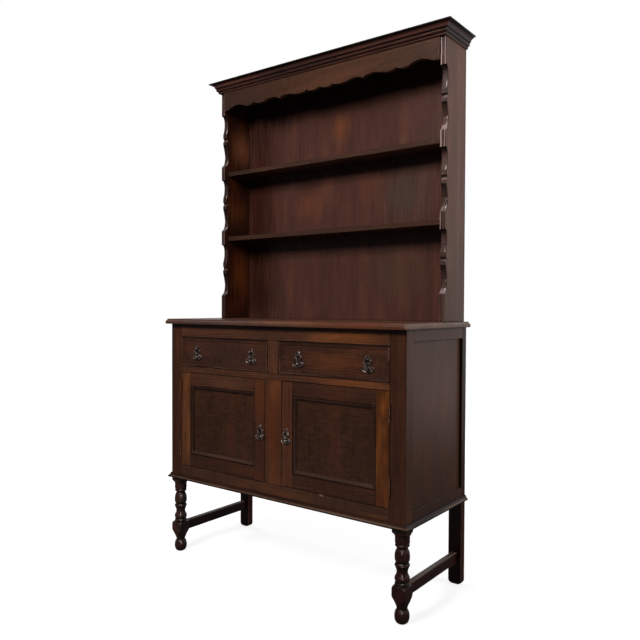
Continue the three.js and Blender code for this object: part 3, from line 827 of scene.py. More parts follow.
def add_wrap(bm: Mesh, profile: list[Vector], half: float, front: float, base: float) -> None:
    """Adds a moulding round the front and both sides, mitred at the front corners.

    Args:
        bm: The mesh, whose material 0 is for the front and 1 for the sides.
        profile: Its section: outwards and up.
        half: Half the width that it is planted on.
        front: Depth of the front that it is planted on.
        base: Height of its lower edge.
    """
    back = CAD_BOX[1].y
    rings = [
        [
            Vector((side * (half + p.x), back if at_back else front - p.x, base + p.y))
            for p in profile
        ]
        for side, at_back in ((1, True), (1, False), (-1, False), (-1, True))
    ]
    add_skin(bm, rings, materials=(1, 0, 1))


def add_piece(
    name: str,
    bm: Mesh,
    materials: list[bpy.types.Material],
    nodes: tuple[str, ...],
    body: str = "carcass",
    smooth: bool = False,
) -> None:
    """Turns a mesh into a piece of the object.

    Args:
        name: Name of the piece.
        bm: Its mesh, which is freed.
        materials: Its materials, in the order of their numbers.
        nodes: The CAD nodes that it stands for.
        body: The body that it rides on.
        smooth: Whether its curves are shaded as round.
    """
    bmesh.ops.remove_doubles(bm, verts=bm.verts, dist=WELD)
    bmesh.ops.recalc_face_normals(bm, faces=bm.faces)
    mesh = bpy.data.meshes.new(name)
    bm.to_mesh(mesh)
    bm.free()
    for material in materials:
        mesh.materials.append(material)
    if smooth:
        mesh.shade_smooth()
        mesh.set_sharp_from_angle(angle=SHARP_ANGLE)
    piece = bpy.data.objects.new(name, mesh)
    bpy.context.scene.collection.objects.link(piece)
    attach(piece, body)
    if nodes:
        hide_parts(*nodes)
    LOG.info("%s: %d faces, rides on %s", name, len(mesh.polygons), body)


def board_piece(
    node: str,
    finish: StainedOak,
    grain: Grain,
    seed: int,
    slot: str,
    patches: tuple[StainPatch, ...] = (),
    body: str = "carcass",
    ease: float = EASE,
    wear: float = DUSTY_AND_SHADED,
) -> None:
    """Makes the plain board that stands for one CAD node.

    Args:
        node: The CAD node, whose box the board fills.
        finish: Its finish.
        grain: The axis its grain runs along.
        seed: Number of the board.
        slot: Name of a material slot; not used.
        patches: Patches where the stain is thin or thick.
        body: The body that it rides on.
        ease: Radius of its arrises.
        wear: Wear of its arrises.
    """
    bm = new_mesh()
    add_board(bm, *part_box(node), ease=ease, wear=wear)
    add_piece(f"{node}_oak", bm, [finish.material(grain, seed, patches)], (node,), body)


@dataclass
class FrontLeg:
    """A square leg, turned between its square blocks.

    Attributes:
        label: left or right.
        seed: Number of its blank.
        sides: Steps round the turning.
        skim: How far the turning stays inside the square.
        corner: Largest radius as a share of half the square, which eases the blocks' corners.
        strokes: The turning, in shares of half the square and of the leg's height.
        quirks: Heights of its quirks, darkened with old wax and painted shade, as shares of the
            leg's height.
        quirk_reach: How far a quirk reaches up and down, as a share of the same.
        fading: Middle of the left leg's faded patch, above the floor.
    """

    label: str
    seed: int
    sides: int = 96
    skim: float = 0.4 * MM
    corner: float = 1.385
    strokes: tuple[Stroke, ...] = (
        (0.5, 0),
        (0.985, 0.074, 0.96, 0.012),
        (0.71, 0.149, 0.975, 0.132),
        (0.69, 0.16),
        (1.5, 0.297, 0.85, 0.215),
        (1.5, 0.352),
        (0.985, 0.398, 1.42, 0.39),
        (0.88, 0.404),
        (0.88, 0.433, 1.06, 0.419),
        (0.85, 0.441),
        (0.925, 0.496, 1.08, 0.464),
        (0.72, 0.538, 0.76, 0.512),
        (0.88, 0.588, 0.74, 0.574),
        (0.8, 0.592),
        (0.9, 0.597),
        (0.9, 0.63, 1.07, 0.613),
        (0.78, 0.638),
        (0.85, 0.648),
        (0.985, 0.708, 1.01, 0.662),
        (0.72, 0.783, 0.97, 0.758),
        (0.72, 0.799),
        (0.8, 0.804),
        (0.85, 0.832, 1.08, 0.82),
        (0.8, 0.838),
        (0.962, 0.846),
        (0.962, 0.909),
        (1.5, 0.959, 1.03, 0.942),
        (1.5, 1),
        (0, 1),
    )
    quirks: tuple[float, ...] = (0.154, 0.401, 0.437, 0.592, 0.639, 0.801, 0.838)
    quirk_reach: float = 0.006
    fading: float = 150 * MM

    def build(self) -> None:
        """Turns the leg and squares its blocks."""
        node = f"front_leg_{self.label}"
        low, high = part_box(node)
        half, height = (high.x - low.x) / 2, high.z - low.z
        bm = new_mesh()
        profile = trace(self.strokes, (half - self.skim, height))
        verts = [bm.verts.new((min(p.x, half * self.corner), 0, p.y)) for p in profile]
        edges = [bm.edges.new(pair) for pair in zip(verts, verts[1:])]
        bmesh.ops.spin(
            bm,
            geom=[*verts, *edges],
            axis=(0, 0, 1),
            angle=2 * math.pi,
            steps=self.sides,
            use_merge=True,
        )
        for vert in bm.verts:
            vert.co.x = max(-half, min(half, vert.co.x))
            vert.co.y = max(-half, min(half, vert.co.y))
        # The quirks are darkened with old wax and painted shade.
        for face in bm.faces:
            share = face.calc_center_median().z / height
            if any(abs(share - quirk) < self.quirk_reach for quirk in self.quirks):
                mark(bm, [face], WAXED_AND_SHADED)
        middle = (low + high) / 2
        bmesh.ops.translate(bm, vec=(middle.x, middle.y, low.z), verts=bm.verts)
        centre = (low.x, middle.y, low.z + self.fading)
        faded = StainPatch(centre, (0.2, 0.2, 0.3), "#5c4436", 0.25)
        patches = (faded,) if self.label == "left" else ()
        material = LEG_OAK.material(Grain.Z, self.seed, patches)
        add_piece(f"{node}_oak", bm, [material], (node,), smooth=True)


@dataclass
class Carcass:
    """The cupboard: its frame, sides, floor, deck, back, mouldings and table top.

    Attributes:
        rail_depth: Thickness of the front rails.
        guide_width: Width of a drawer guide.
        deck_thickness: Thickness of the deck.
        chamfer: Chamfer of the rear legs' feet.
        post_side: X of a face's normal, above which it is part of a corner post's side.
        moulding_depth: How far the base moulding stands out.
        moulding: Its section, in shares of its depth and of its height.
        lit_band: Lowest and highest point of the band painted pale as a highlight where the
            moulding faces up, as shares of its height.
        dark_foot: Height of the painted shade under that band, as a share of the same.
        edge_depth: Width of the table's moulded edge.
        table_edge: Section of that edge, in shares of its width and of the table's thickness.
        corner_radius: Rounding of the table's front corners.
        corner_steps: Faces on such a rounding.
        chips: The pale chips in the bottom rail, which show bare wood.
    """

    rail_depth: float = 22 * MM
    guide_width: float = 12 * MM
    deck_thickness: float = 22.5 * MM
    chamfer: float = 11 * MM
    post_side: float = 0.9
    moulding_depth: float = 11 * MM
    moulding: tuple[Stroke, ...] = (
        (0.8, 0),
        (1, 0.16, 1, 0.02),
        (0.93, 0.38, 1, 0.32),
        (0.3, 0.9, 0.55, 0.46),
        (0.3, 1),
        (0, 1),
    )
    lit_band: tuple[float, float] = (0.3, 0.5)
    dark_foot: float = 0.25
    edge_depth: float = 9 * MM
    table_edge: tuple[Stroke, ...] = (
        (0.62, 0),
        (1, 0.3, 1, 0.02),
        (0.85, 0.6, 1, 0.55),
        (0.12, 0.9, 0.35, 0.72),
        (0.12, 1),
    )
    corner_radius: float = 3 * MM
    corner_steps: int = 4
    chips: tuple[PatchRow, ...] = (
        (0.2135, 0.345, 0.007, 0.004, "#b79c86", 1.0),
        (0.206, 0.3475, 0.007, 0.004, "#b79c86", 1.0),
    )

    def build(self) -> None:
        """Builds all of it."""
        for seed, label in enumerate(("left", "right"), start=1):
            FrontLeg(label, seed).build()
            self._side(label, seed * 10)
        self._front()
        self._deck()
        self._floor()
        board_piece("carcass_back", INNER_OAK, Grain.X, 40, "inner_wood")
        self._base_moulding()
        self._table_top()

    def _side(self, label: str, seed: int) -> None:
        """Builds the post, rear leg, rails, panel and stretcher of one side.

        Args:
            label: left or right.
            seed: Number of its first board.
        """
        self._corner_post(label, seed + 1)
        self._rear_leg(label, seed + 2)
        low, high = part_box(f"side_panel_{label}")
        x = (low.x + high.x) / 2
        # Darker and redder towards the top, and darker towards the floor, a painted shade.
        shades = (
            StainPatch((x, 0, high.z + 30 * MM), (0.2, 0.6, 0.24), "#2e100c", 0.5),
            StainPatch((x, 0, low.z - 30 * MM), (0.2, 0.6, 0.34), "#1c0f05", 0.6),
        )
        members = (
            ("side_top_rail", Grain.Y),
            ("side_bottom_rail", Grain.Y),
            ("side_panel", Grain.Z),
        )
        for number, (name, grain) in enumerate(members, start=3):
            board_piece(f"{name}_{label}", SIDE_OAK, grain, seed + number, "side_oak", shades)
        node = f"side_stretcher_{label}"
        low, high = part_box(node)
        middle = (low + high) / 2
        # The top face is painted paler and greyer, a painted sheen.
        painted_sheen = StainPatch((middle.x, middle.y, high.z + 4 * MM), (0.1, 0.4, 0.012), "#6e5f58", 0.6)
        finish = {"patches": (painted_sheen,), "ease": 2.5 * MM, "wear": RUBBED_AND_LIT}
        board_piece(node, LEG_OAK, Grain.Y, seed + 6, "leg_oak", **finish)

    def _corner_post(self, label: str, seed: int) -> None:
        """Builds a corner post, whose side face is nearly as bleached as the sides.

        Args:
            label: left or right.
            seed: Number of its board.
        """
        node = f"corner_post_{label}"
        bm = new_mesh()
        add_board(bm, *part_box(node), wear=PLAIN)
        bm.normal_update()
        for face in bm.faces:
            face.material_index = int(abs(face.normal.x) > self.post_side)
        materials = [finish.material(Grain.Z, seed) for finish in (POST_OAK, POST_SIDE_OAK)]
        add_piece(f"{node}_oak", bm, materials, (node,))

    def _rear_leg(self, label: str, seed: int) -> None:
        """Builds a plain post with a chamfered foot.

        Args:
            label: left or right.
            seed: Number of its board.
        """
        node = f"rear_leg_{label}"
        low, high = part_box(node)
        chamfer = self.chamfer
        outline = [
            Vector((low.x + chamfer, low.z)),
            Vector((high.x - chamfer, low.z)),
            Vector((high.x - chamfer * 0.3, low.z + chamfer * 0.35)),
            Vector((high.x, low.z + chamfer)),
            Vector((high.x, high.z)),
            Vector((low.x, high.z)),
            Vector((low.x, low.z + chamfer)),
            Vector((low.x + chamfer * 0.3, low.z + chamfer * 0.35)),
        ]
        bm = new_mesh()
        add_slab(bm, outline, low.y, high.y)
        middle = (low + high) / 2
        centre = (middle.x, middle.y, low.z + 150 * MM)
        reddish = StainPatch(centre, (0.2, 0.2, 0.3), "#3e0b02", 0.8)
        material = LEG_OAK.material(Grain.Z, seed, (reddish,))
        add_piece(f"{node}_oak", bm, [material], (node,))

    def _front(self) -> None:
        """Builds the rails and muntins of the front."""
        low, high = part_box("front_top_rail")
        middle = (low.z + high.z) / 2
        worn = front_patches(
            low.y,
            (0.34, middle, 0.17, 0.05, "#7a441a", 0.5),
            (-0.03, middle, 0.2, 0.05, "#2a1a16", 0.3),
        )
        chips = front_patches(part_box("front_bottom_rail")[0].y, *self.chips)
        low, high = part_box("door_muntin")
        middle = (low + high) / 2
        golden = front_patches(low.y, (middle.x, middle.z, 0.06, 0.3, "#602800", 0.42))
        members = (
            ("front_top_rail", FRAME_OAK, Grain.X, worn),
            ("front_bottom_rail", LOW_RAIL_OAK, Grain.X, chips),
            ("drawer_muntin", FRAME_OAK, Grain.Z, ()),
            ("door_muntin", FRAME_OAK, Grain.Z, golden),
        )
        for seed, (node, finish, grain, patches) in enumerate(members, start=41):
            board_piece(node, finish, grain, seed, "frame_oak", patches)

    def _deck(self) -> None:
        """Builds the middle rail, the deck behind it and its guides."""
        low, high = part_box("drawer_deck")
        post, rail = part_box("corner_post_right")[0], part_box("side_top_rail_right")
        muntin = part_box("drawer_muntin")
        top = low.z + self.deck_thickness
        back = low.y + self.rail_depth
        guide = post.x + self.guide_width
        bm = new_mesh()
        add_board(bm, Vector((-post.x, low.y, low.z)), Vector((post.x, back, top)))
        boards = (
            ((-post.x, back, low.z), (post.x, high.y, top)),
            ((post.x, rail[0].y, low.z), (rail[0].x, rail[1].y, top)),
            ((-rail[0].x, rail[0].y, low.z), (-post.x, rail[1].y, top)),
            ((muntin[0].x, back, top), (muntin[1].x, high.y, high.z)),
            ((post.x, rail[0].y, top), (guide, rail[1].y, high.z)),
            ((-guide, rail[0].y, top), (-post.x, rail[1].y, high.z)),
        )
        add_boards(bm, boards, material=1)
        rubbed = front_patches(low.y, (0.3, low.z, 0.2, 0.06, "#774222", 0.5))
        materials = [FRAME_OAK.material(Grain.X, 45, rubbed), INNER_OAK.material(Grain.X, 46)]
        add_piece("drawer_deck_oak", bm, materials, ("drawer_deck",))

    def _floor(self) -> None:
        """Builds the cupboard floor from a wide board and a strip at each end."""
        low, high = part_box("cupboard_floor")
        post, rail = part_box("corner_post_right")[0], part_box("side_top_rail_right")
        bm = new_mesh()
        boards = (
            ((-post.x, low.y, low.z), (post.x, high.y, high.z)),
            ((post.x, rail[0].y, low.z), (rail[0].x, rail[1].y, high.z)),
            ((-rail[0].x, rail[0].y, low.z), (-post.x, rail[1].y, high.z)),
        )
        add_boards(bm, boards)
        materials = [INNER_OAK.material(Grain.X, 47)]
        add_piece("cupboard_floor_oak", bm, materials, ("cupboard_floor",))

    def _base_moulding(self) -> None:
        """Builds the moulding round the foot of the cupboard, painted pale as a highlight along its
        upper roll and dark as shade under it.
        """
        low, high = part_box("base_moulding")
        depth, height = self.moulding_depth, high.z - low.z
        bm = new_mesh()
        profile = trace(self.moulding, (depth, height))
        add_wrap(bm, profile, high.x - depth, low.y + depth, low.z)
        # A band that faces up is painted pale as a highlight and the foot under it dark as shade;
        # the rest is darkened a little.
        for face in bm.faces:
            share = (face.calc_center_median().z - low.z) / height
            rubbed = self.lit_band[0] < share < self.lit_band[1]
            mark(bm, [face], RUBBED_AND_LIT if rubbed else WAXED_AND_SHADED if share < self.dark_foot else DUSTY_AND_SHADED)
        materials = [POST_OAK.material(Grain.X, 48), LEG_OAK.material(Grain.Y, 49)]
        nodes = ("base_moulding",)
        add_piece("base_moulding_oak", bm, materials, nodes, smooth=True)

    def _table_top(self) -> None:
        """Builds the table top as one board with a moulded edge."""
        low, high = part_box("table_top")
        profile = trace(self.table_edge, (self.edge_depth, high.z - low.z))[1:]
        quarter = [math.pi / 2 * (1 - i / self.corner_steps) for i in range(self.corner_steps + 1)]
        rings = []
        for point in profile:
            short = self.edge_depth - point.x
            radius = self.corner_radius + point.x
            half, front = high.x - short, low.y + short
            centre = Vector((half - radius, front + radius))
            corner = [centre + Vector((math.sin(a), -math.cos(a))) * radius for a in quarter]
            plan = [Vector((half, high.y)), *corner]
            plan += mirror(plan)
            rings.append([Vector((p.x, p.y, low.z + point.y)) for p in plan])
        bm = new_mesh()
        add_skin(bm, rings)
        bm.normal_update()
        for face in bm.faces:
            face.material_index = int(abs(face.normal.x) > LEANING)
        middle = (low.z + high.z) / 2
        patches = front_patches(
            low.y,
            (0.38, middle, 0.3, 0.06, "#702c10", 0.4),
            (-0.3, middle, 0.4, 0.06, "#3c3236", 0.5),
            depth=60 * MM,
        )
        materials = [
            TABLE_OAK.material(Grain.X, 50, patches),
            TABLE_END_OAK.material(Grain.X, 51),
        ]
        add_piece("table_top_oak", bm, materials, ("table_top",), smooth=True)


@dataclass
class Rack:
    """The plate rack: uprights, shelves, back, frieze and cornice.

    Attributes:
        scallop_depth: Deepest cut of the uprights' front edges.
        scallops: One bay of such an edge, in shares of that depth and of the bay's height.
        edge: Depth in mm of an upright's front edge and of its other edges, at shares of its
            thickness from the inner face outwards. A line is scratched along the front edge's
            straight parts, with a flat on either side.
        scratch: The shares between which that line lies.
        slopes: Z of a scallop face's normal below which it is painted dark as shade, and above
            which it is painted pale as a highlight.
        plain_foot: Height up to which their front edges are neither rubbed nor painted with light
            or shade.
        bay_drop: From a shelf's underside down to its bay.
        bay_share: A bay's height as a share of the distance between the shelves.
        inner_patches: Y, Z, half depth, half height, colour and strength of the golden patches on
            the uprights' inner faces.
        back_patches: Patches of the back, from golden wood to painted shadows under the frieze and
            the shelves and painted shade in the dark left corners.
        frieze_height: From the frieze's lowest straight point to its top.
        arch_height: Height of its arches.
        arches: Its right half's lower edge, in shares of its half width and of that height.
        crown_height: Height of the crown moulding.
        crown_depth: How far it stands out.
        crown: Its section, in shares of its depth and of its height.
        crown_quirks: Lowest and highest point of each quirk and of the fascia, darkened with old
            wax and painted shade, as shares of the crown's height. The front below the second quirk
            is painted shade too.
    """

    scallop_depth: float = 19 * MM
    scallops: tuple[Stroke, ...] = (
        (0.45, 0.01),
        (0.84, 0.15, 0.84, 0.05),
        (0.42, 0.35, 0.84, 0.26),
        (0.42, 0.43),
        (0.66, 0.465, 0.62, 0.435),
        (0.42, 0.5, 0.62, 0.495),
        (0.42, 0.56),
        (1, 0.78, 0.78, 0.64),
        (0, 1, 1.02, 0.95),
    )
    edge: tuple[tuple[float, float, float], ...] = (
        (0.0, 1.8, 1.4),
        (0.1, 0.2, 0.0),
        (0.34, 0.0, 0.0),
        (0.44, 2.4, 0.0),
        (0.56, 2.4, 0.0),
        (0.66, 0.0, 0.0),
        (0.78, 0.0, 0.0),
        (0.92, 0.9, 0.0),
        (1.0, 2.8, 1.4),
    )
    scratch: tuple[float, float] = (0.4, 0.6)
    slopes: tuple[float, float] = (-0.4, 0.38)
    plain_foot: float = 60 * MM
    bay_drop: float = 18 * MM
    bay_share: float = 0.783
    inner_patches: tuple[PatchRow, ...] = (
        (0.17, 1.64, 0.09, 0.11, "#b06c4a", 0.9),
        (0.16, 1.1, 0.09, 0.16, "#a85a26", 0.65),
        (0.13, 1.37, 0.1, 0.09, "#8a4c26", 0.7),
        (0.12, 0.97, 0.08, 0.06, "#7a3a1a", 0.5),
    )
    back_patches: tuple[PatchRow, ...] = (
        # The golden, warm and greyish rows are tones of the wood; the dark rows are painted shadow
        # under the frieze and the shelves, and painted shade at the left end.
        (-0.01, 1.67, 0.06, 0.1, "#74401f", 0.5),
        (0.0, 1.76, 0.8, 0.08, "#180b08", 0.7),
        (-0.44, 1.35, 0.17, 0.9, "#2a110a", 0.95),
        (-0.16, 1.38, 0.09, 0.1, "#6b3a26", 0.5),
        (0.25, 1.1, 0.2, 0.16, "#4c3a2c", 0.5),
        (-0.45, 1.02, 0.2, 0.2, "#180904", 0.6),
        (-0.45, 1.7, 0.16, 0.14, "#1d110e", 0.5),
        (-0.31, 1.75, 0.16, 0.09, "#0e0605", 0.6),
        (-0.17, 1.455, 0.1, 0.06, "#1c100c", 0.4),
        (-0.45, 1.17, 0.12, 0.05, "#0c0504", 0.5),
        (0.29, 1.38, 0.16, 0.14, "#46423c", 0.45),
    )
    frieze_height: float = 96 * MM
    arch_height: float = 16 * MM
    arches: tuple[Stroke, ...] = (
        (0.022, 0.2, 0.004, 0.2),
        (0.1, 0.1, 0.055, -0.16),
        (0.121, 0.62, 0.118, 0.25),
        (0.145, 0.15, 0.126, 0.22),
        (0.25, 0.2, 0.19, -0.12),
        (0.385, 0.14, 0.335, 0.98),
        (0.392, -0.1),
        (0.4, 0.14),
        (0.55, 0.2, 0.47, 1.12),
        (0.645, 0.2, 0.6, -0.12),
        (0.667, 0.66, 0.66, 0.3),
        (0.69, 0.2, 0.675, 0.25),
        (0.77, 0.3, 0.735, -0.12),
        (0.95, 0.1, 0.855, 1.75),
        (1, 0.02),
    )
    crown_height: float = 40 * MM
    crown_depth: float = 34.5 * MM
    crown: tuple[Stroke, ...] = (
        (0.1, 0),
        (0.16, 0.17, 0.24, 0.08),
        (0.24, 0.22),
        (0.34, 0.46, 0.46, 0.3),
        (0.46, 0.53),
        (0.78, 0.84, 0.5, 0.78),
        (0.78, 0.9),
        (1, 0.9),
        (1, 1),
        (0, 1),
    )
    crown_quirks: tuple[tuple[float, float], ...] = ((0.14, 0.24), (0.44, 0.56), (0.85, 0.99))

    def build(self) -> None:
        """Builds all of it."""
        self._upright("left", 60)
        self._upright("right", 61)
        for seed, node in enumerate(("rack_upper_shelf", "rack_lower_shelf"), start=62):
            low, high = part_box(node)
            height = (low.z + high.z) / 2
            # Greyer along the edge, and darker at its left end beside the left upright, a painted
            # shade.
            patches = front_patches(
                low.y,
                (0, height, 0.8, 0.05, "#2b2427", 0.35),
                (low.x, height, 0.25, 0.05, "#1e1614", 0.65),
            )
            board_piece(node, RACK_OAK, Grain.X, seed, "rack_oak", patches)
        patches = front_patches(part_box("rack_back")[0].y, *self.back_patches)
        board_piece("rack_back", BACK_OAK, Grain.Z, 64, "panel_oak", patches)
        self._frieze()
        self._cornice()

    def _outline(self, low: Vector, high: Vector) -> list[Vector]:
        """Draws an upright from the side, with a scalloped bay under the frieze and each shelf.

        Args:
            low: The upright's lowest corner.
            high: Its highest corner.

        Returns:
            The outline: back and up.
        """
        lower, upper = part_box("rack_lower_shelf"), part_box("rack_upper_shelf")
        bay = (upper[1].z - lower[1].z) * self.bay_share
        outline = [Vector((high.y, low.z)), Vector((high.y, high.z)), Vector((low.y, high.z))]
        for underside in (high.z - self.frieze_height, upper[0].z, lower[0].z):
            top = Vector((low.y, underside - self.bay_drop))
            outline += [top + point for point in trace(self.scallops, (self.scallop_depth, -bay))]
        return [*outline, Vector((low.y, low.z))]

    def _upright(self, label: str, seed: int) -> None:
        """Builds one upright with its scalloped and scratched front edge.

        Args:
            label: left or right.
            seed: Number of its board.
        """
        node = f"rack_upright_{label}"
        low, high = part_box(node)
        inner, outer = (low.x, high.x) if label == "right" else (high.x, low.x)
        outline = self._outline(low, high)
        on_front = [p.x < low.y + self.scallop_depth * 1.1 for p in outline]
        straight = [p.x < low.y + EASE for p in outline]
        rings = []
        for share, front_depth, rest_depth in self.edge:
            scratched = self.scratch[0] < share < self.scratch[1]
            depths = [
                (front_depth if front and (uncut or not scratched) else rest_depth) * MM
                for front, uncut in zip(on_front, straight)
            ]
            x = inner + (outer - inner) * share
            rings.append([Vector((x, p.x, p.y)) for p in inset(outline, depths)])
        bm = new_mesh()
        # Two flats of the front edge are painted pale as highlights; its inner arris and the
        # scratch are darkened with old wax and painted shade.
        first, _ = add_skin(bm, rings, rubbed=(1, 6), waxed=(0, 3), materials=(2,) * 8)
        self._paint_scallop_light(bm, low)
        inner_face = max(first[0].link_faces, key=lambda face: len(face.verts))
        inner_face.material_index = 1
        patches = tuple(
            StainPatch((inner, y, z), (0.02, deep, tall), colour, strength)
            for y, z, deep, tall, colour, strength in self.inner_patches
        )
        # Darker towards the foot, a painted shade; a dark strip along the back edge, and a paler
        # streak near it.
        streaks_and_painted_shade = (
            StainPatch((inner, 0, low.z), (0.1, 0.5, 0.4), "#2a1810", 0.65),
            StainPatch((inner, high.y, 1.4), (0.1, 0.022, 3.0), "#2b2426", 0.7),
            StainPatch((inner, high.y - 0.055, 1.35), (0.1, 0.022, 0.6), "#7d6352", 0.35),
        )
        edge_oak = EDGE_OAK if label == "right" else LEFT_EDGE_OAK
        materials = [
            RACK_SIDE_OAK.material(Grain.Z, seed, streaks_and_painted_shade),
            UPRIGHT_OAK.material(Grain.Z, seed + 10, patches),
            edge_oak.material(Grain.Z, seed + 20),
        ]
        add_piece(f"{node}_oak", bm, materials, (node,))

    def _paint_scallop_light(self, bm: Mesh, low: Vector) -> None:
        """Paints the scallops pale as a highlight where they face up and dark as shade where they
        face down.

        Args:
            bm: The upright.
            low: Its lowest corner.
        """
        bmesh.ops.recalc_face_normals(bm, faces=bm.faces)
        down, up = self.slopes
        for face in bm.faces:
            middle, slope = face.calc_center_median(), face.normal.z
            if abs(face.normal.x) > SIDEWAYS:
                continue
            if 2 * EASE < middle.y - low.y < self.scallop_depth:
                # Between the two slopes, a face that looks down is painted a little darker, the
                # more so the further it leans.
                wear = RUBBED_AND_LIT if slope > up else WAXED_AND_SHADED if slope < down else min(slope * 3, PLAIN)
                mark(bm, [face], wear)
            elif middle.z < low.z + self.plain_foot:
                mark(bm, [face], PLAIN)

    def _frieze(self) -> None:
        """Builds the frieze with its fretted lower edge."""
        low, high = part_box("frieze")
        base = high.z - self.frieze_height
        right = trace(self.arches, (high.x, self.arch_height), start=(0, 0.62))
        edge = [Vector((p.x, base + p.y)) for p in [*mirror(right[1:]), *right]]
        bm = new_mesh()
        add_slab(bm, [*edge, Vector((high.x, high.z)), Vector((low.x, high.z))], low.y, high.y)
        # Darker towards the left end, a painted shade, and a warmer brown towards the right end.
        patches = front_patches(
            low.y,
            (-0.5, base, 0.5, 0.2, "#241a19", 0.75),
            (0.45, base, 0.4, 0.2, "#351c0c", 0.5),
        )
        material = RACK_OAK.material(Grain.X, 65, patches)
        add_piece("frieze_oak", bm, [material], ("frieze",))

    def _cornice(self) -> None:
        """Builds the crown moulding and the board that it is planted on."""
        low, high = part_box("cornice")
        base = high.z - self.crown_height
        half, front = high.x - self.crown_depth, low.y + self.crown_depth
        bm = new_mesh()
        profile = trace(self.crown, (self.crown_depth, self.crown_height))
        add_wrap(bm, profile, half, front, base)
        for face in bm.faces:
            share = (face.calc_center_median().z - base) / self.crown_height
            # Quirks and fascia are darkened with old wax and painted shade, and the front below the
            # second quirk with painted shade.
            if any(start < share < end for start, end in self.crown_quirks):
                mark(bm, [face], WAXED_AND_SHADED)
            elif share < self.crown_quirks[1][0] and face.material_index == 0:
                mark(bm, [face], PAINTED_SHADE)
        materials = [CROWN_OAK.material(Grain.X, 66), RETURN_OAK.material(Grain.Y, 67)]
        add_piece("crown_moulding_oak", bm, materials, ("cornice",), smooth=True)
        board_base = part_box("frieze")[1].z
        bm = new_mesh()
        add_board(bm, Vector((-half, front, board_base)), Vector((half, high.y, high.z)))
        materials = [RACK_OAK.material(Grain.X, 68)]
        add_piece("cornice_board_oak", bm, materials, ("cornice",))


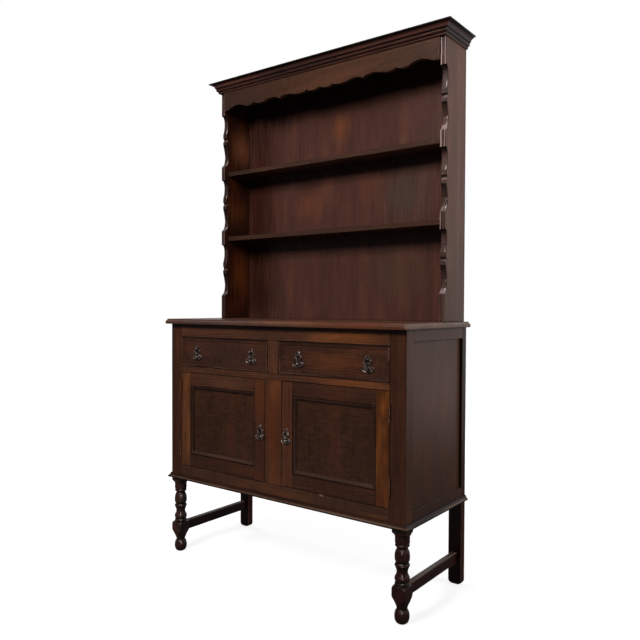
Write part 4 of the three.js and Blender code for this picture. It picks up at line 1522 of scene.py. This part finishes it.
@dataclass
class Handle:
    """A cast drop handle: a pierced and scrolled plate, two ears with a pin, and a swinging drop.

    Attributes:
        prefix: What the names of its nodes start with.
        body: The body that the plate is fixed to.
        metal: Its finish.
        height: Height of the plate.
        thickness: Thickness of the plate.
        bevel: Width and depth of the bevel round its front.
        standoff: From the plate's back to the pin.
        rise: From the plate's middle up to the pin.
        plate: Right half of the plate's outline, in shares of half its width and height.
        holes: Middle and half sizes of each pierced hole, in the same shares.
        scrolls: Points of the scrolls raised on the right half, in the same shares.
        scroll: Radius of a scroll at its ends, and how much larger it is in the middle.
        hole_sides: Sides of a hole.
        ear_place: From the plate's middle out to an ear.
        ear: Radius of an ear in the plate, at the pin and at its tip.
        ear_nose: From the pin out to that tip.
        pin: Half the length and the radius of the pin.
        eye: Radius of the drop's eye, and of its bar.
        eye_sides: Sides of the eye.
        stem: Points of the drop's stem in mm, across and up, with the pin at zero.
        stem_bar: Radius of the stem at its ends, and how much larger it is in the middle.
        drop_length: From the pin down to the drop's end.
        shell: Half the width, thickness and height of the shell at the drop's end.
        flare: Share of that width at its middle, and how much less it is at its top.
        flutes: Flutes of the shell.
        fluting: Mean share of its thickness, and how far the flutes part from it.
        fan: From the shell's top up to the point that the flutes spread from.
    """

    prefix: str
    body: str
    metal: bpy.types.Material
    height: float = 58 * MM
    thickness: float = 2.5 * MM
    bevel: tuple[float, float] = (0.5 * MM, 0.6 * MM)
    standoff: float = 9 * MM
    rise: float = 15 * MM
    plate: tuple[Stroke, ...] = (
        (0.36, -0.88, 0.16, -0.98),
        (0.78, -0.72, 0.56, -0.92),
        (0.98, -0.4, 1.02, -0.62),
        (0.8, -0.3, 0.94, -0.22),
        (0.52, -0.06, 0.58, -0.28),
        (0.56, 0.16, 0.46, 0.06),
        (0.6, 0.4, 0.74, 0.28),
        (0.36, 0.54, 0.5, 0.48),
        (0.34, 0.8, 0.46, 0.68),
        (0, 1, 0.26, 1),
    )
    holes: tuple[tuple[float, float, float, float], ...] = (
        (0.66, -0.5, 0.1, 0.12),
        (-0.66, -0.5, 0.1, 0.12),
        (0.34, 0.2, 0.1, 0.16),
        (-0.34, 0.2, 0.1, 0.16),
        (0.0, 0.78, 0.13, 0.1),
    )
    scrolls: tuple[tuple[tuple[float, float], ...], ...] = (
        ((0.06, -0.93), (0.36, -0.82), (0.7, -0.7), (0.89, -0.5), (0.82, -0.36), (0.62, -0.34)),
        ((0.08, 0.92), (0.26, 0.82), (0.28, 0.6), (0.16, 0.46)),
        ((0.24, 0.44), (0.5, 0.4), (0.56, 0.24), (0.48, 0.08), (0.42, -0.08), (0.5, -0.24)),
        ((0.1, -0.78), (0.18, -0.5), (0.12, -0.3)),
        ((0.34, -0.72), (0.44, -0.52), (0.34, -0.32)),
    )
    scroll: tuple[float, float] = (1.0 * MM, 0.9 * MM)
    hole_sides: int = 14
    ear_place: float = 4 * MM
    ear: Point = (2.4 * MM, 2.2 * MM, 0.8 * MM)
    ear_nose: float = 1.6 * MM
    pin: tuple[float, float] = (5.6 * MM, 1.3 * MM)
    eye: tuple[float, float] = (3.1 * MM, 1.2 * MM)
    eye_sides: int = 16
    stem: tuple[tuple[float, float], ...] = (
        (0, -3.4),
        (-3.2, -6),
        (-3, -9),
        (0, -13.5),
        (3.2, -18),
        (2.4, -22),
        (0, -24),
    )
    stem_bar: tuple[float, float] = (1.4 * MM, 1.2 * MM)
    drop_length: float = 36 * MM
    shell: Point = (10 * MM, 2.6 * MM, 6.6 * MM)
    flare: tuple[float, float] = (0.72, 0.3)
    flutes: int = 11
    fluting: tuple[float, float] = (0.8, 0.28)
    fan: float = 2 * MM

    def build(self) -> None:
        """Builds both halves."""
        node = f"{self.prefix}_handle_plate"
        low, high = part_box(node)
        middle = Vector(((low.x + high.x) / 2, high.y, low.z + self.height / 2))
        pivot = middle + Vector((0, -self.standoff, self.rise))
        bm = new_mesh()
        self._plate(bm, (high.x - low.x) / 2, self.height / 2)
        self._ears(bm)
        bmesh.ops.translate(bm, vec=middle, verts=bm.verts)
        bronze = [self.metal]
        add_piece(f"{node}_bronze", bm, bronze, (node,), self.body, smooth=True)
        node = f"{self.prefix}_handle_drop"
        bm = new_mesh()
        self._drop(bm)
        bmesh.ops.translate(bm, vec=pivot, verts=bm.verts)
        body = f"{self.prefix}_drop"
        add_piece(f"{node}_bronze", bm, bronze, (node,), body, smooth=True)

    def _plate(self, bm: Mesh, half: float, tall: float) -> None:
        """Casts the plate: its rim, its pierced holes and the scrolls raised on it.

        Args:
            bm: The mesh.
            half: Half its width.
            tall: Half its height.
        """
        right = trace(self.plate, (half, tall), start=(0, -1), steps=6)
        outline = [*right, *mirror(right[1:-1])]
        inward, deep = self.bevel
        rim = inset(outline, inward)
        layers = ((outline, 0), (outline, deep - self.thickness), (rim, -self.thickness))
        back, front = add_skin(bm, [stand(points, y) for points, y in layers], capped=False)
        for x, z, wide, high in self.holes:
            ring = [
                Vector(((x + wide * math.cos(a)) * half, (z + high * math.sin(a)) * tall))
                for a in turns(self.hole_sides)
            ]
            rings = [stand(ring, 0), stand(ring, -self.thickness)]
            hole_back, hole_front = add_skin(bm, rings, capped=False)
            back, front = [*back, *hole_back], [*front, *hole_front]
        for edges in (back, front):
            bmesh.ops.triangle_fill(bm, edges=edges, use_beauty=True)
        for side in (-1, 1):
            for scroll in self.scrolls:
                points = [Vector((side * x * half, z * tall)) for x, z in scroll]
                add_bulge(bm, stand(points, -self.thickness), *self.scroll)

    def _ears(self, bm: Mesh) -> None:
        """Adds the two ears and the pin between them.

        Args:
            bm: The mesh.
        """
        depths = (self.thickness / 2, self.standoff, self.standoff + self.ear_nose)
        for side in (-1, 1):
            path = [Vector((side * self.ear_place, -depth, self.rise)) for depth in depths]
            add_tube(bm, path, list(self.ear))
        reach, radius = self.pin
        ends = [Vector((side * reach, -self.standoff, self.rise)) for side in (-1, 1)]
        add_tube(bm, ends, [radius, radius])

    def _drop(self, bm: Mesh) -> None:
        """Adds the drop, hanging from the origin: an eye, a stem bent like an S and a shell.

        Args:
            bm: The mesh.
        """
        radius, bar = self.eye
        angles = (*turns(self.eye_sides), 2 * math.pi)
        ring = [Vector((0, math.cos(a), math.sin(a))) * radius for a in angles]
        add_tube(bm, ring, [bar] * len(ring))
        add_bulge(bm, [Vector((x * MM, 0, z * MM)) for x, z in self.stem], *self.stem_bar)
        verts = bmesh.ops.create_uvsphere(bm, u_segments=36, v_segments=18, radius=1.0)["verts"]
        wide, thick, tall = self.shell
        top = 2 * tall - self.drop_length
        for vert in verts:
            x, y, z = vert.co
            taper = self.flare[0] - self.flare[1] * z
            x, z = x * wide * taper, (z - 1) * tall
            angle = math.atan2(x, self.fan - z)
            ribbed = self.fluting[0] + self.fluting[1] * math.cos(angle * self.flutes)
            vert.co = Vector((x, y * thick * ribbed, top + z))


@dataclass
class Door:
    """A framed door with a flat panel, its handle and the door halves of its hinges.

    Attributes:
        label: left or right.
        metal: Finish of the handle.
        iron: Finish of the hinges.
        stile: Width of a stile.
        rail: Height of a rail.
        moulding_width: Width of the moulding inside the frame.
        recess: From the frame's face back to the panel.
        moulding: Section of the moulding, in shares of its width and of the recess.
        casts: Member, side, colour and strength of the cast that a whole member has.
        bare_spots: X on the right door, Z, half height, colour and strength of the spots on a
            hinge stile, most of them golden.
        spot_width: Half the width of such a spot.
    """

    label: str
    metal: bpy.types.Material
    iron: bpy.types.Material
    stile: float = 48 * MM
    rail: float = 47.5 * MM
    moulding_width: float = 14 * MM
    recess: float = 9 * MM
    moulding: tuple[Stroke, ...] = (
        (0.0, 0.45),
        (0.1, 0.45),
        (0.11, 0.2),
        (0.3, 0.08, 0.13, 0.08),
        (0.8, 0.62, 0.72, 0.12),
        (0.86, 0.7),
        (1, 0.72),
        (1, 1),
        (0, 1),
    )
    casts: tuple[tuple[str, int, str, float], ...] = (
        ("hinge_stile", -1, "#69442e", 0.4),
        ("hinge_stile", 1, "#4c2404", 0.3),
        ("latch_stile", -1, "#2c1612", 0.45),
        ("latch_stile", 1, "#70432e", 0.15),
        ("top_rail", -1, "#5c3b2b", 0.4),
        ("bottom_rail", -1, "#221004", 0.35),
        ("top_rail", 1, "#22120c", 0.25),
        ("bottom_rail", 1, "#3a1c06", 0.3),
    )
    bare_spots: tuple[tuple[float, float, float, str, float], ...] = (
        (0.446, 0.66, 0.05, "#8f4a1e", 0.65),
        (0.45, 0.585, 0.03, "#7c4420", 0.5),
        (0.453, 0.5, 0.045, "#7e3c1a", 0.5),
        (0.449, 0.45, 0.02, "#5a1f12", 0.6),
        (0.457, 0.4, 0.035, "#642c12", 0.45),
        (0.447, 0.355, 0.07, "#381410", 0.8),
    )
    spot_width: float = 16 * MM

    def build(self) -> None:
        """Builds all of it."""
        body = f"door_{self.label}"
        side = -1 if self.label == "left" else 1
        seed = 80 if side < 0 else 90
        stiles = ("hinge_stile", "latch_stile")
        left, right = stiles if side < 0 else reversed(stiles)
        low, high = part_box(f"{body}_{left}")[0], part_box(f"{body}_{right}")[1]
        x = (low.x, low.x + self.stile, high.x - self.stile, high.x)
        z = (low.z, low.z + self.rail, high.z - self.rail, high.z)
        opening = (x[1], x[2], z[1], z[2])
        finishes = {"hinge_stile": STILE_OAK, "latch_stile": LATCH_OAK}
        members = (
            (left, "left", x[:2], (z[0], z[3]), Grain.Z, finishes[left]),
            (right, "right", x[2:], (z[0], z[3]), Grain.Z, finishes[right]),
            ("top_rail", "top", x[1:3], z[2:], Grain.X, RAIL_OAK),
            ("bottom_rail", "bottom", x[1:3], z[:2], Grain.X, RAIL_OAK),
        )
        for number, (name, edge, across, up, grain, finish) in enumerate(members, start=seed):
            bm = new_mesh()
            corners = [Vector((across[i], y, up[i])) for i, y in enumerate((low.y, high.y))]
            add_board(bm, *corners)
            self._run(bm, edge, opening, low.y)
            middle = sum(corners, Vector()) / 2
            # The bottom moulding takes the paler copy, a painted highlight, and the others the
            # darker one, a painted shade.
            mould = LIT_ROLL_OAK if edge == "bottom" else SHADED_MOULD_OAK
            materials = [
                finish.material(grain, number, self._patches(name, side, middle, low.y)),
                mould.material(grain, number),
            ]
            node = f"{body}_{name}"
            add_piece(f"{node}_oak", bm, materials, (node,), body)
        board_piece(f"{body}_panel", PANEL_OAK, Grain.Z, seed + 5, "panel_oak", body=body)
        Handle(body, body, self.metal).build()
        for level in ("lower", "upper"):
            Hinge(self.label, level, self.iron).build()

    def _patches(
        self, name: str, side: int, middle: Vector, front: float
    ) -> tuple[StainPatch, ...]:
        """Gives the spots and the cast of one member of the frame.

        Args:
            name: Name of the member.
            side: -1 for the left door and 1 for the right one.
            middle: Middle of the member.
            front: Depth of its face.

        Returns:
            The patches.
        """
        rows = []
        if name == "hinge_stile":
            fade = 1.0 if side > 0 else 0.6
            rows += [
                (side * x, z, self.spot_width, tall, colour, strength * fade)
                for x, z, tall, colour, strength in self.bare_spots
            ]
        rows += [
            (middle.x, middle.z, 0.3, 0.4, colour, strength)
            for member, on_side, colour, strength in self.casts
            if (member, on_side) == (name, side)
        ]
        return front_patches(front, *rows)

    def _run(self, bm: Mesh, edge: str, opening: tuple[float, ...], front: float) -> None:
        """Adds the moulding along one edge of the opening, with mitred ends.

        Args:
            bm: The mesh.
            edge: left, right, top or bottom.
            opening: Left, right, bottom and top of the opening.
            front: Depth of the frame's face.
        """
        left, right, bottom, top = opening
        section = trace(self.moulding, (self.moulding_width, self.recess))
        rings = []
        for at_end in (False, True):
            ring = []
            for point in section:
                x = right - point.x if at_end else left + point.x
                z = top - point.x if at_end else bottom + point.x
                places = {
                    "bottom": (x, bottom + point.x),
                    "top": (x, top - point.x),
                    "left": (left + point.x, z),
                    "right": (right - point.x, z),
                }
                ring.append(Vector((places[edge][0], front + point.y, places[edge][1])))
            rings.append(ring)
        # Its quirk against the frame is darkened with old wax and painted shade.
        add_skin(bm, rings, quirks=(0, 1, 2), materials=(1,))


@dataclass
class Hinge:
    """A butt hinge: two leaves, three knuckles and a pin.

    Attributes:
        label: The door's side, left or right.
        level: lower or upper.
        iron: Its finish.
        radius: Radius of the knuckles.
        leaf: Thickness of a leaf.
        leaf_start: From the axis back to a leaf's front, as a share of the knuckles' radius.
        proud: How far the door's leaf stands out of the door, and radius of a leaf's arrises.
        gap: Gap between the door and its post.
        joint: Half the gap between two knuckles, and how far their ends are rounded.
        screw: Radius of a screw's head in the wood and on the leaf.
        screw_depth: How deep a screw's head is sunk.
        screws: Places of the screws along the leaf, as shares of its length, and how far behind
            its middle line they are.
    """

    label: str
    level: str
    iron: bpy.types.Material
    radius: float = 3 * MM
    leaf: float = 0.9 * MM
    leaf_start: float = 0.6
    proud: float = 0.1 * MM
    gap: float = 1.5 * MM
    joint: float = 0.2 * MM
    screw: tuple[float, float] = (1.6 * MM, 2.6 * MM)
    screw_depth: float = 0.95 * MM
    screws: tuple[tuple[float, float], ...] = ((0.2, -2 * MM), (0.5, 2 * MM), (0.8, -2 * MM))

    def build(self) -> None:
        """Builds the half on the post and the half on the door."""
        node = f"hinge_{self.label}_{self.level}"
        low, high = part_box(node)
        side = -1 if self.label == "left" else 1
        post = high.x if side > 0 else low.x
        door = post - side * self.gap
        axis = Vector((post - side * self.gap / 2, low.y + self.radius, 0))
        for name, knuckles, leaf_x, body, nodes in (
            (node, (0, 2), (post, post - side * self.leaf), "carcass", (node,)),
            (
                f"{node}_door_half",
                (1,),
                (door + side * self.proud, door - side * self.leaf),
                f"door_{self.label}",
                (),
            ),
        ):
            bm = new_mesh()
            self._knuckles(bm, knuckles, axis, low.z, high.z)
            add_board(
                bm,
                Vector((min(leaf_x), axis.y + self.radius * self.leaf_start, low.z)),
                Vector((max(leaf_x), high.y, high.z)),
                ease=self.proud,
            )
            for share, shift in self.screws:
                y, z = (axis.y + high.y) / 2 + shift, low.z + (high.z - low.z) * share
                sunk = leaf_x[0] - side * self.screw_depth
                head = [Vector((x, y, z)) for x in (sunk, leaf_x[1])]
                add_tube(bm, head, list(self.screw), sides=12)
            add_piece(f"{name}_iron", bm, [self.iron], nodes, body, smooth=True)

    def _knuckles(
        self, bm: Mesh, numbers: tuple[int, ...], axis: Vector, base: float, top: float
    ) -> None:
        """Adds some of the three knuckles.

        Args:
            bm: The mesh.
            numbers: Which ones, counted from the lowest as 0.
            axis: A point on their axis.
            base: Height of the lowest one's lower end.
            top: Height of the highest one's upper end.
        """
        third = (top - base) / 3
        for number in numbers:
            start = base + third * number + (self.joint if number else 0)
            end = base + third * (number + 1) - (self.joint if number < 2 else 0)
            heights = (start, start + self.joint, end - self.joint, end)
            radii = [self.radius - self.joint, self.radius, self.radius, self.radius - self.joint]
            add_tube(bm, [Vector((axis.x, axis.y, z)) for z in heights], radii, sides=20)


@dataclass
class Drawer:
    """A drawer: a moulded front, a box behind it and two handles.

    Attributes:
        label: left or right.
        metal: Finish of the handles.
        rim_width: Width of the raised rim.
        recess: From the rim back to the field.
        rim: Section of the rim, in shares of its width and of the recess.
        gap: Radius of the front's outer arris, darkened with old wax and painted shade in the gap.
        side: Thickness of the box's sides.
        bottom: Thickness of its bottom.
        rise: From the sides' lower edges up to the bottom.
    """

    label: str
    metal: bpy.types.Material
    rim_width: float = 16 * MM
    recess: float = 5 * MM
    rim: tuple[Stroke, ...] = (
        (0.36, 0),
        (0.42, 0.3),
        (0.86, 0.72, 0.76, 0.28),
        (0.9, 1),
        (1, 1),
    )
    gap: float = 2.2 * MM
    side: float = 10 * MM
    bottom: float = 5 * MM
    rise: float = 6 * MM

    def build(self) -> None:
        """Builds all of it."""
        self._front()
        self._box()
        for end in ("left", "right"):
            Handle(f"drawer_{self.label}_{end}", f"drawer_{self.label}", self.metal).build()

    def _front(self) -> None:
        """Builds the front: a rim that slopes down to a flat field."""
        node = f"drawer_{self.label}_front"
        low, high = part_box(node)
        corners = [
            Vector((low.x, low.z)),
            Vector((high.x, low.z)),
            Vector((high.x, high.z)),
            Vector((low.x, high.z)),
        ]
        steps = [
            (EASE, high.y),
            (0, high.y - EASE),
            (0, low.y + self.gap),
            (self.gap * 0.3, low.y + self.gap * 0.3),
            (self.gap, low.y),
        ]
        rim = trace(self.rim, (self.rim_width, self.recess))
        steps += [(point.x, low.y + point.y) for point in rim[1:]]
        bm = new_mesh()
        last = len(steps) - 2
        rings = [stand(inset(corners, short), y) for short, y in steps]
        # The outer arris and the quirks are darkened with old wax and painted shade; the rim's flat
        # is rubbed pale as a painted highlight.
        add_skin(bm, rings, rubbed=(4,), waxed=(2, 3, 5, last - 1))
        middle = (low + high) / 2
        layer = bm.faces.layers.float[WEAR_AND_PAINTED_LIGHT]
        # Along the top the rim's flat is darkened instead, a painted shade.
        for face in bm.faces:
            if face[layer] == RUBBED_AND_LIT and face.calc_center_median().z > middle.z + self.recess:
                mark(bm, [face], DUSTY_AND_SHADED)
        if self.label == "right":
            glow = (middle.x + 0.01, middle.z - 0.005, 0.19, 0.055, "#6c3a1a", 0.4)
            patches = front_patches(low.y, glow)
        else:
            patches = (StainPatch(tuple(middle), (0.3, 0.08, 0.1), "#2b211f", 0.35),)
        material = RAIL_OAK.material(Grain.X, 100 if self.label == "left" else 101, patches)
        body = f"drawer_{self.label}"
        add_piece(f"{node}_oak", bm, [material], (node,), body, smooth=True)

    def _box(self) -> None:
        """Builds the sides, back and bottom of the box."""
        node = f"drawer_{self.label}_box"
        low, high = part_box(node)
        left, right = low.x + self.side, high.x - self.side
        back, floor = high.y - self.side, low.z + self.rise
        boards = (
            ((low.x, low.y, low.z), (left, high.y, high.z)),
            ((right, low.y, low.z), (high.x, high.y, high.z)),
            ((left, back, floor), (right, high.y, high.z)),
            ((left, low.y, floor), (right, back, floor + self.bottom)),
        )
        bm = new_mesh()
        add_boards(bm, boards, ease=0.8 * MM)
        material = INNER_OAK.material(Grain.Y, 110 if self.label == "left" else 111)
        add_piece(f"{node}_oak", bm, [material], (node,), f"drawer_{self.label}")


@dataclass
class Studio:
    """A white studio: camera, lamps, world and floor.

    Attributes:
        eye: Place of the camera, fitted to the photograph.
        yaw: Its turn about Z.
        pitch: Its tilt from the level.
        roll: Its turn about its own axis.
        lens: Focal length in millimetres on a 36 mm sensor.
        lamps: Name, place, width, height and power in watts of the large lamps. They light matt
            surfaces but don't show in glossy ones.
        legs: What the window lamp faces.
        ambient: Light on the object from the front and from behind it.
        mirrored: The same, as gloss shows it.
        floor_size: Half the width of the floor.
    """

    eye: Point = (1.51146, -1.93308, 0.96561)
    yaw: float = 0.64559
    pitch: float = -0.02008
    roll: float = 0.00427
    lens: float = 37.414
    lamps: tuple[tuple[str, Point, tuple[float, float], float], ...] = (
        ("key", (-0.15, -2.4, 2.45), (1.1, 0.8), 84),
        ("side", (3.0, 0.8, 1.9), (1.0, 0.8), 45),
        ("left", (-3.0, 0.8, 1.9), (1.0, 0.8), 34),
        ("rear", (0.0, 3.2, 2.0), (1.0, 0.8), 40),
    )
    legs: Point = (-0.16, 0.0, 0.05)
    ambient: tuple[float, float] = (0.07, 0.25)
    mirrored: tuple[float, float] = (0.06, 0.42)
    floor_size: float = 6.0

    def build(self) -> None:
        """Builds all of it."""
        self._camera()
        self._world()
        self._floor()
        for name, place, size, power in self.lamps:
            self._lamp(name, place, size, power, glossy=False)
        # Two lamps that only gloss shows: a soft sheen from above, and a narrow beam from the
        # front that gives the turned legs the highlights of a window.
        self._lamp("sheen", (0.4, -1.8, 3.6), (1.2, 0.6), 60, diffuse=False)
        beam = {"target": Vector(self.legs), "spread": math.radians(30)}
        self._lamp("window", (1.6, -2.1, 1.2), (0.4, 0.5), 1.6, diffuse=False, **beam)
        bpy.context.scene.view_settings.view_transform = "Standard"

    def _camera(self) -> None:
        """Sets up the camera."""
        data = bpy.data.cameras.new("camera")
        data.lens = self.lens
        camera = bpy.data.objects.new("camera", data)
        turn = (
            Matrix.Rotation(self.yaw, 4, "Z")
            @ Matrix.Rotation(math.pi / 2 + self.pitch, 4, "X")
            @ Matrix.Rotation(self.roll, 4, "Z")
        )
        camera.matrix_world = Matrix.Translation(self.eye) @ turn
        bpy.context.scene.collection.objects.link(camera)
        bpy.context.scene.camera = camera

    def _lamp(
        self,
        name: str,
        place: Point,
        size: tuple[float, float],
        power: float,
        diffuse: bool = True,
        glossy: bool = True,
        target: Vector = (CAD_BOX[0] + CAD_BOX[1]) / 2,
        spread: float = math.pi,
    ) -> None:
        """Hangs a lamp that faces the middle of the object, or a part of it.

        Args:
            name: Its name.
            place: Where it hangs.
            size: Its width and height.
            power: Its power in watts.
            diffuse: Whether it lights matt surfaces.
            glossy: Whether it shows in glossy ones.
            target: What it faces.
            spread: Angle of its beam.
        """
        data = bpy.data.lights.new(name, "AREA")
        data.shape = "RECTANGLE"
        data.size, data.size_y = size
        data.energy = power
        data.spread = spread
        lamp = bpy.data.objects.new(name, data)
        lamp.visible_diffuse, lamp.visible_glossy = diffuse, glossy
        turn = (target - Vector(place)).to_track_quat("-Z", "Y").to_matrix().to_4x4()
        lamp.matrix_world = Matrix.Translation(place) @ turn
        bpy.context.scene.collection.objects.link(lamp)

    def _world(self) -> None:
        """Makes the world dim for the object, and white for the eye and behind the object."""
        world = bpy.data.worlds.new("studio")
        tree = empty_tree(world)
        heading = add_node(tree, "TexCoord", output="Generated")
        ahead = add_node(tree, "SeparateXYZ", {0: heading}, "Y")
        diffuse, glossy = (
            ramp(tree, ahead, (-0.2, 0.3), ends) for ends in (self.ambient, self.mirrored)
        )
        camera_ray, glossy_ray, clear_ray = (
            add_node(tree, "LightPath", output=f"Is {kind} Ray")
            for kind in ("Camera", "Glossy", "Transmission")
        )
        inputs = {0: glossy_ray, 2: diffuse, 3: glossy}
        on_object = add_node(tree, "Mix", inputs, data_type="FLOAT")
        seen = calc(tree, "MAXIMUM", camera_ray, clear_ray)
        strength = calc(tree, "MAXIMUM", seen, on_object)
        ground = add_node(tree, "Background", {"Color": (1, 1, 1, 1), "Strength": strength})
        add_node(tree, "OutputWorld", {"Surface": ground})
        bpy.context.scene.world = world

    def _floor(self) -> None:
        """Lays a white floor that keeps the object's shadow and fades into the background."""
        bm = bmesh.new()
        bmesh.ops.create_grid(bm, x_segments=1, y_segments=1, size=self.floor_size)
        bmesh.ops.translate(bm, vec=(0, 0, -0.5 * MM), verts=bm.verts)
        mesh = bpy.data.meshes.new("floor")
        bm.to_mesh(mesh)
        bm.free()
        floor = bpy.data.objects.new("floor", mesh)
        bpy.context.scene.collection.objects.link(floor)
        mesh.materials.append(self._vinyl())

    def _vinyl(self) -> bpy.types.Material:
        """Makes the floor's finish, which glows white for the eye further out.

        Returns:
            The material.
        """
        made = bpy.data.materials.new("white_vinyl")
        tree = empty_tree(made)
        camera_ray, glossy_ray = (
            add_node(tree, "LightPath", output=f"Is {kind} Ray") for kind in ("Camera", "Glossy")
        )
        place = add_node(tree, "TexCoord", output="Object")
        behind = add_node(tree, "SeparateXYZ", {0: place}, "Y")
        backdrop = ramp(tree, behind, (1.8, 4.5), (0.0, self.mirrored[1]))
        mirrored = calc(tree, "MULTIPLY", glossy_ray, backdrop)
        far = add_node(tree, "VectorMath", {0: place}, "Value", operation="LENGTH")
        open_floor = ramp(tree, far, (0.9, 2.0), (0.8, 1.0), smooth=True)
        glow = calc(tree, "MULTIPLY_ADD", camera_ray, open_floor, mirrored)
        albedo = ramp(tree, camera_ray, target=(0.07, 0.3))
        grey = add_node(tree, "CombineColor", {0: albedo, 1: albedo, 2: albedo})
        matt = add_node(tree, "BsdfDiffuse", {"Color": grey})
        light = add_node(tree, "Emission", {"Color": (1, 1, 1, 1), "Strength": glow})
        add_node(tree, "OutputMaterial", {0: add_node(tree, "AddShader", {0: matt, 1: light})})
        return made


def main() -> None:
    """Builds the studio and the dresser."""
    logging.basicConfig(level=logging.INFO, format="%(name)s: %(message)s")
    Studio().build()
    bronze, iron = BRONZE.material(), IRON.material()
    Carcass().build()
    for label in ("left", "right"):
        Drawer(label, bronze).build()
        Door(label, bronze, iron).build()
    Rack().build()


if __name__ == "__main__":
    main()
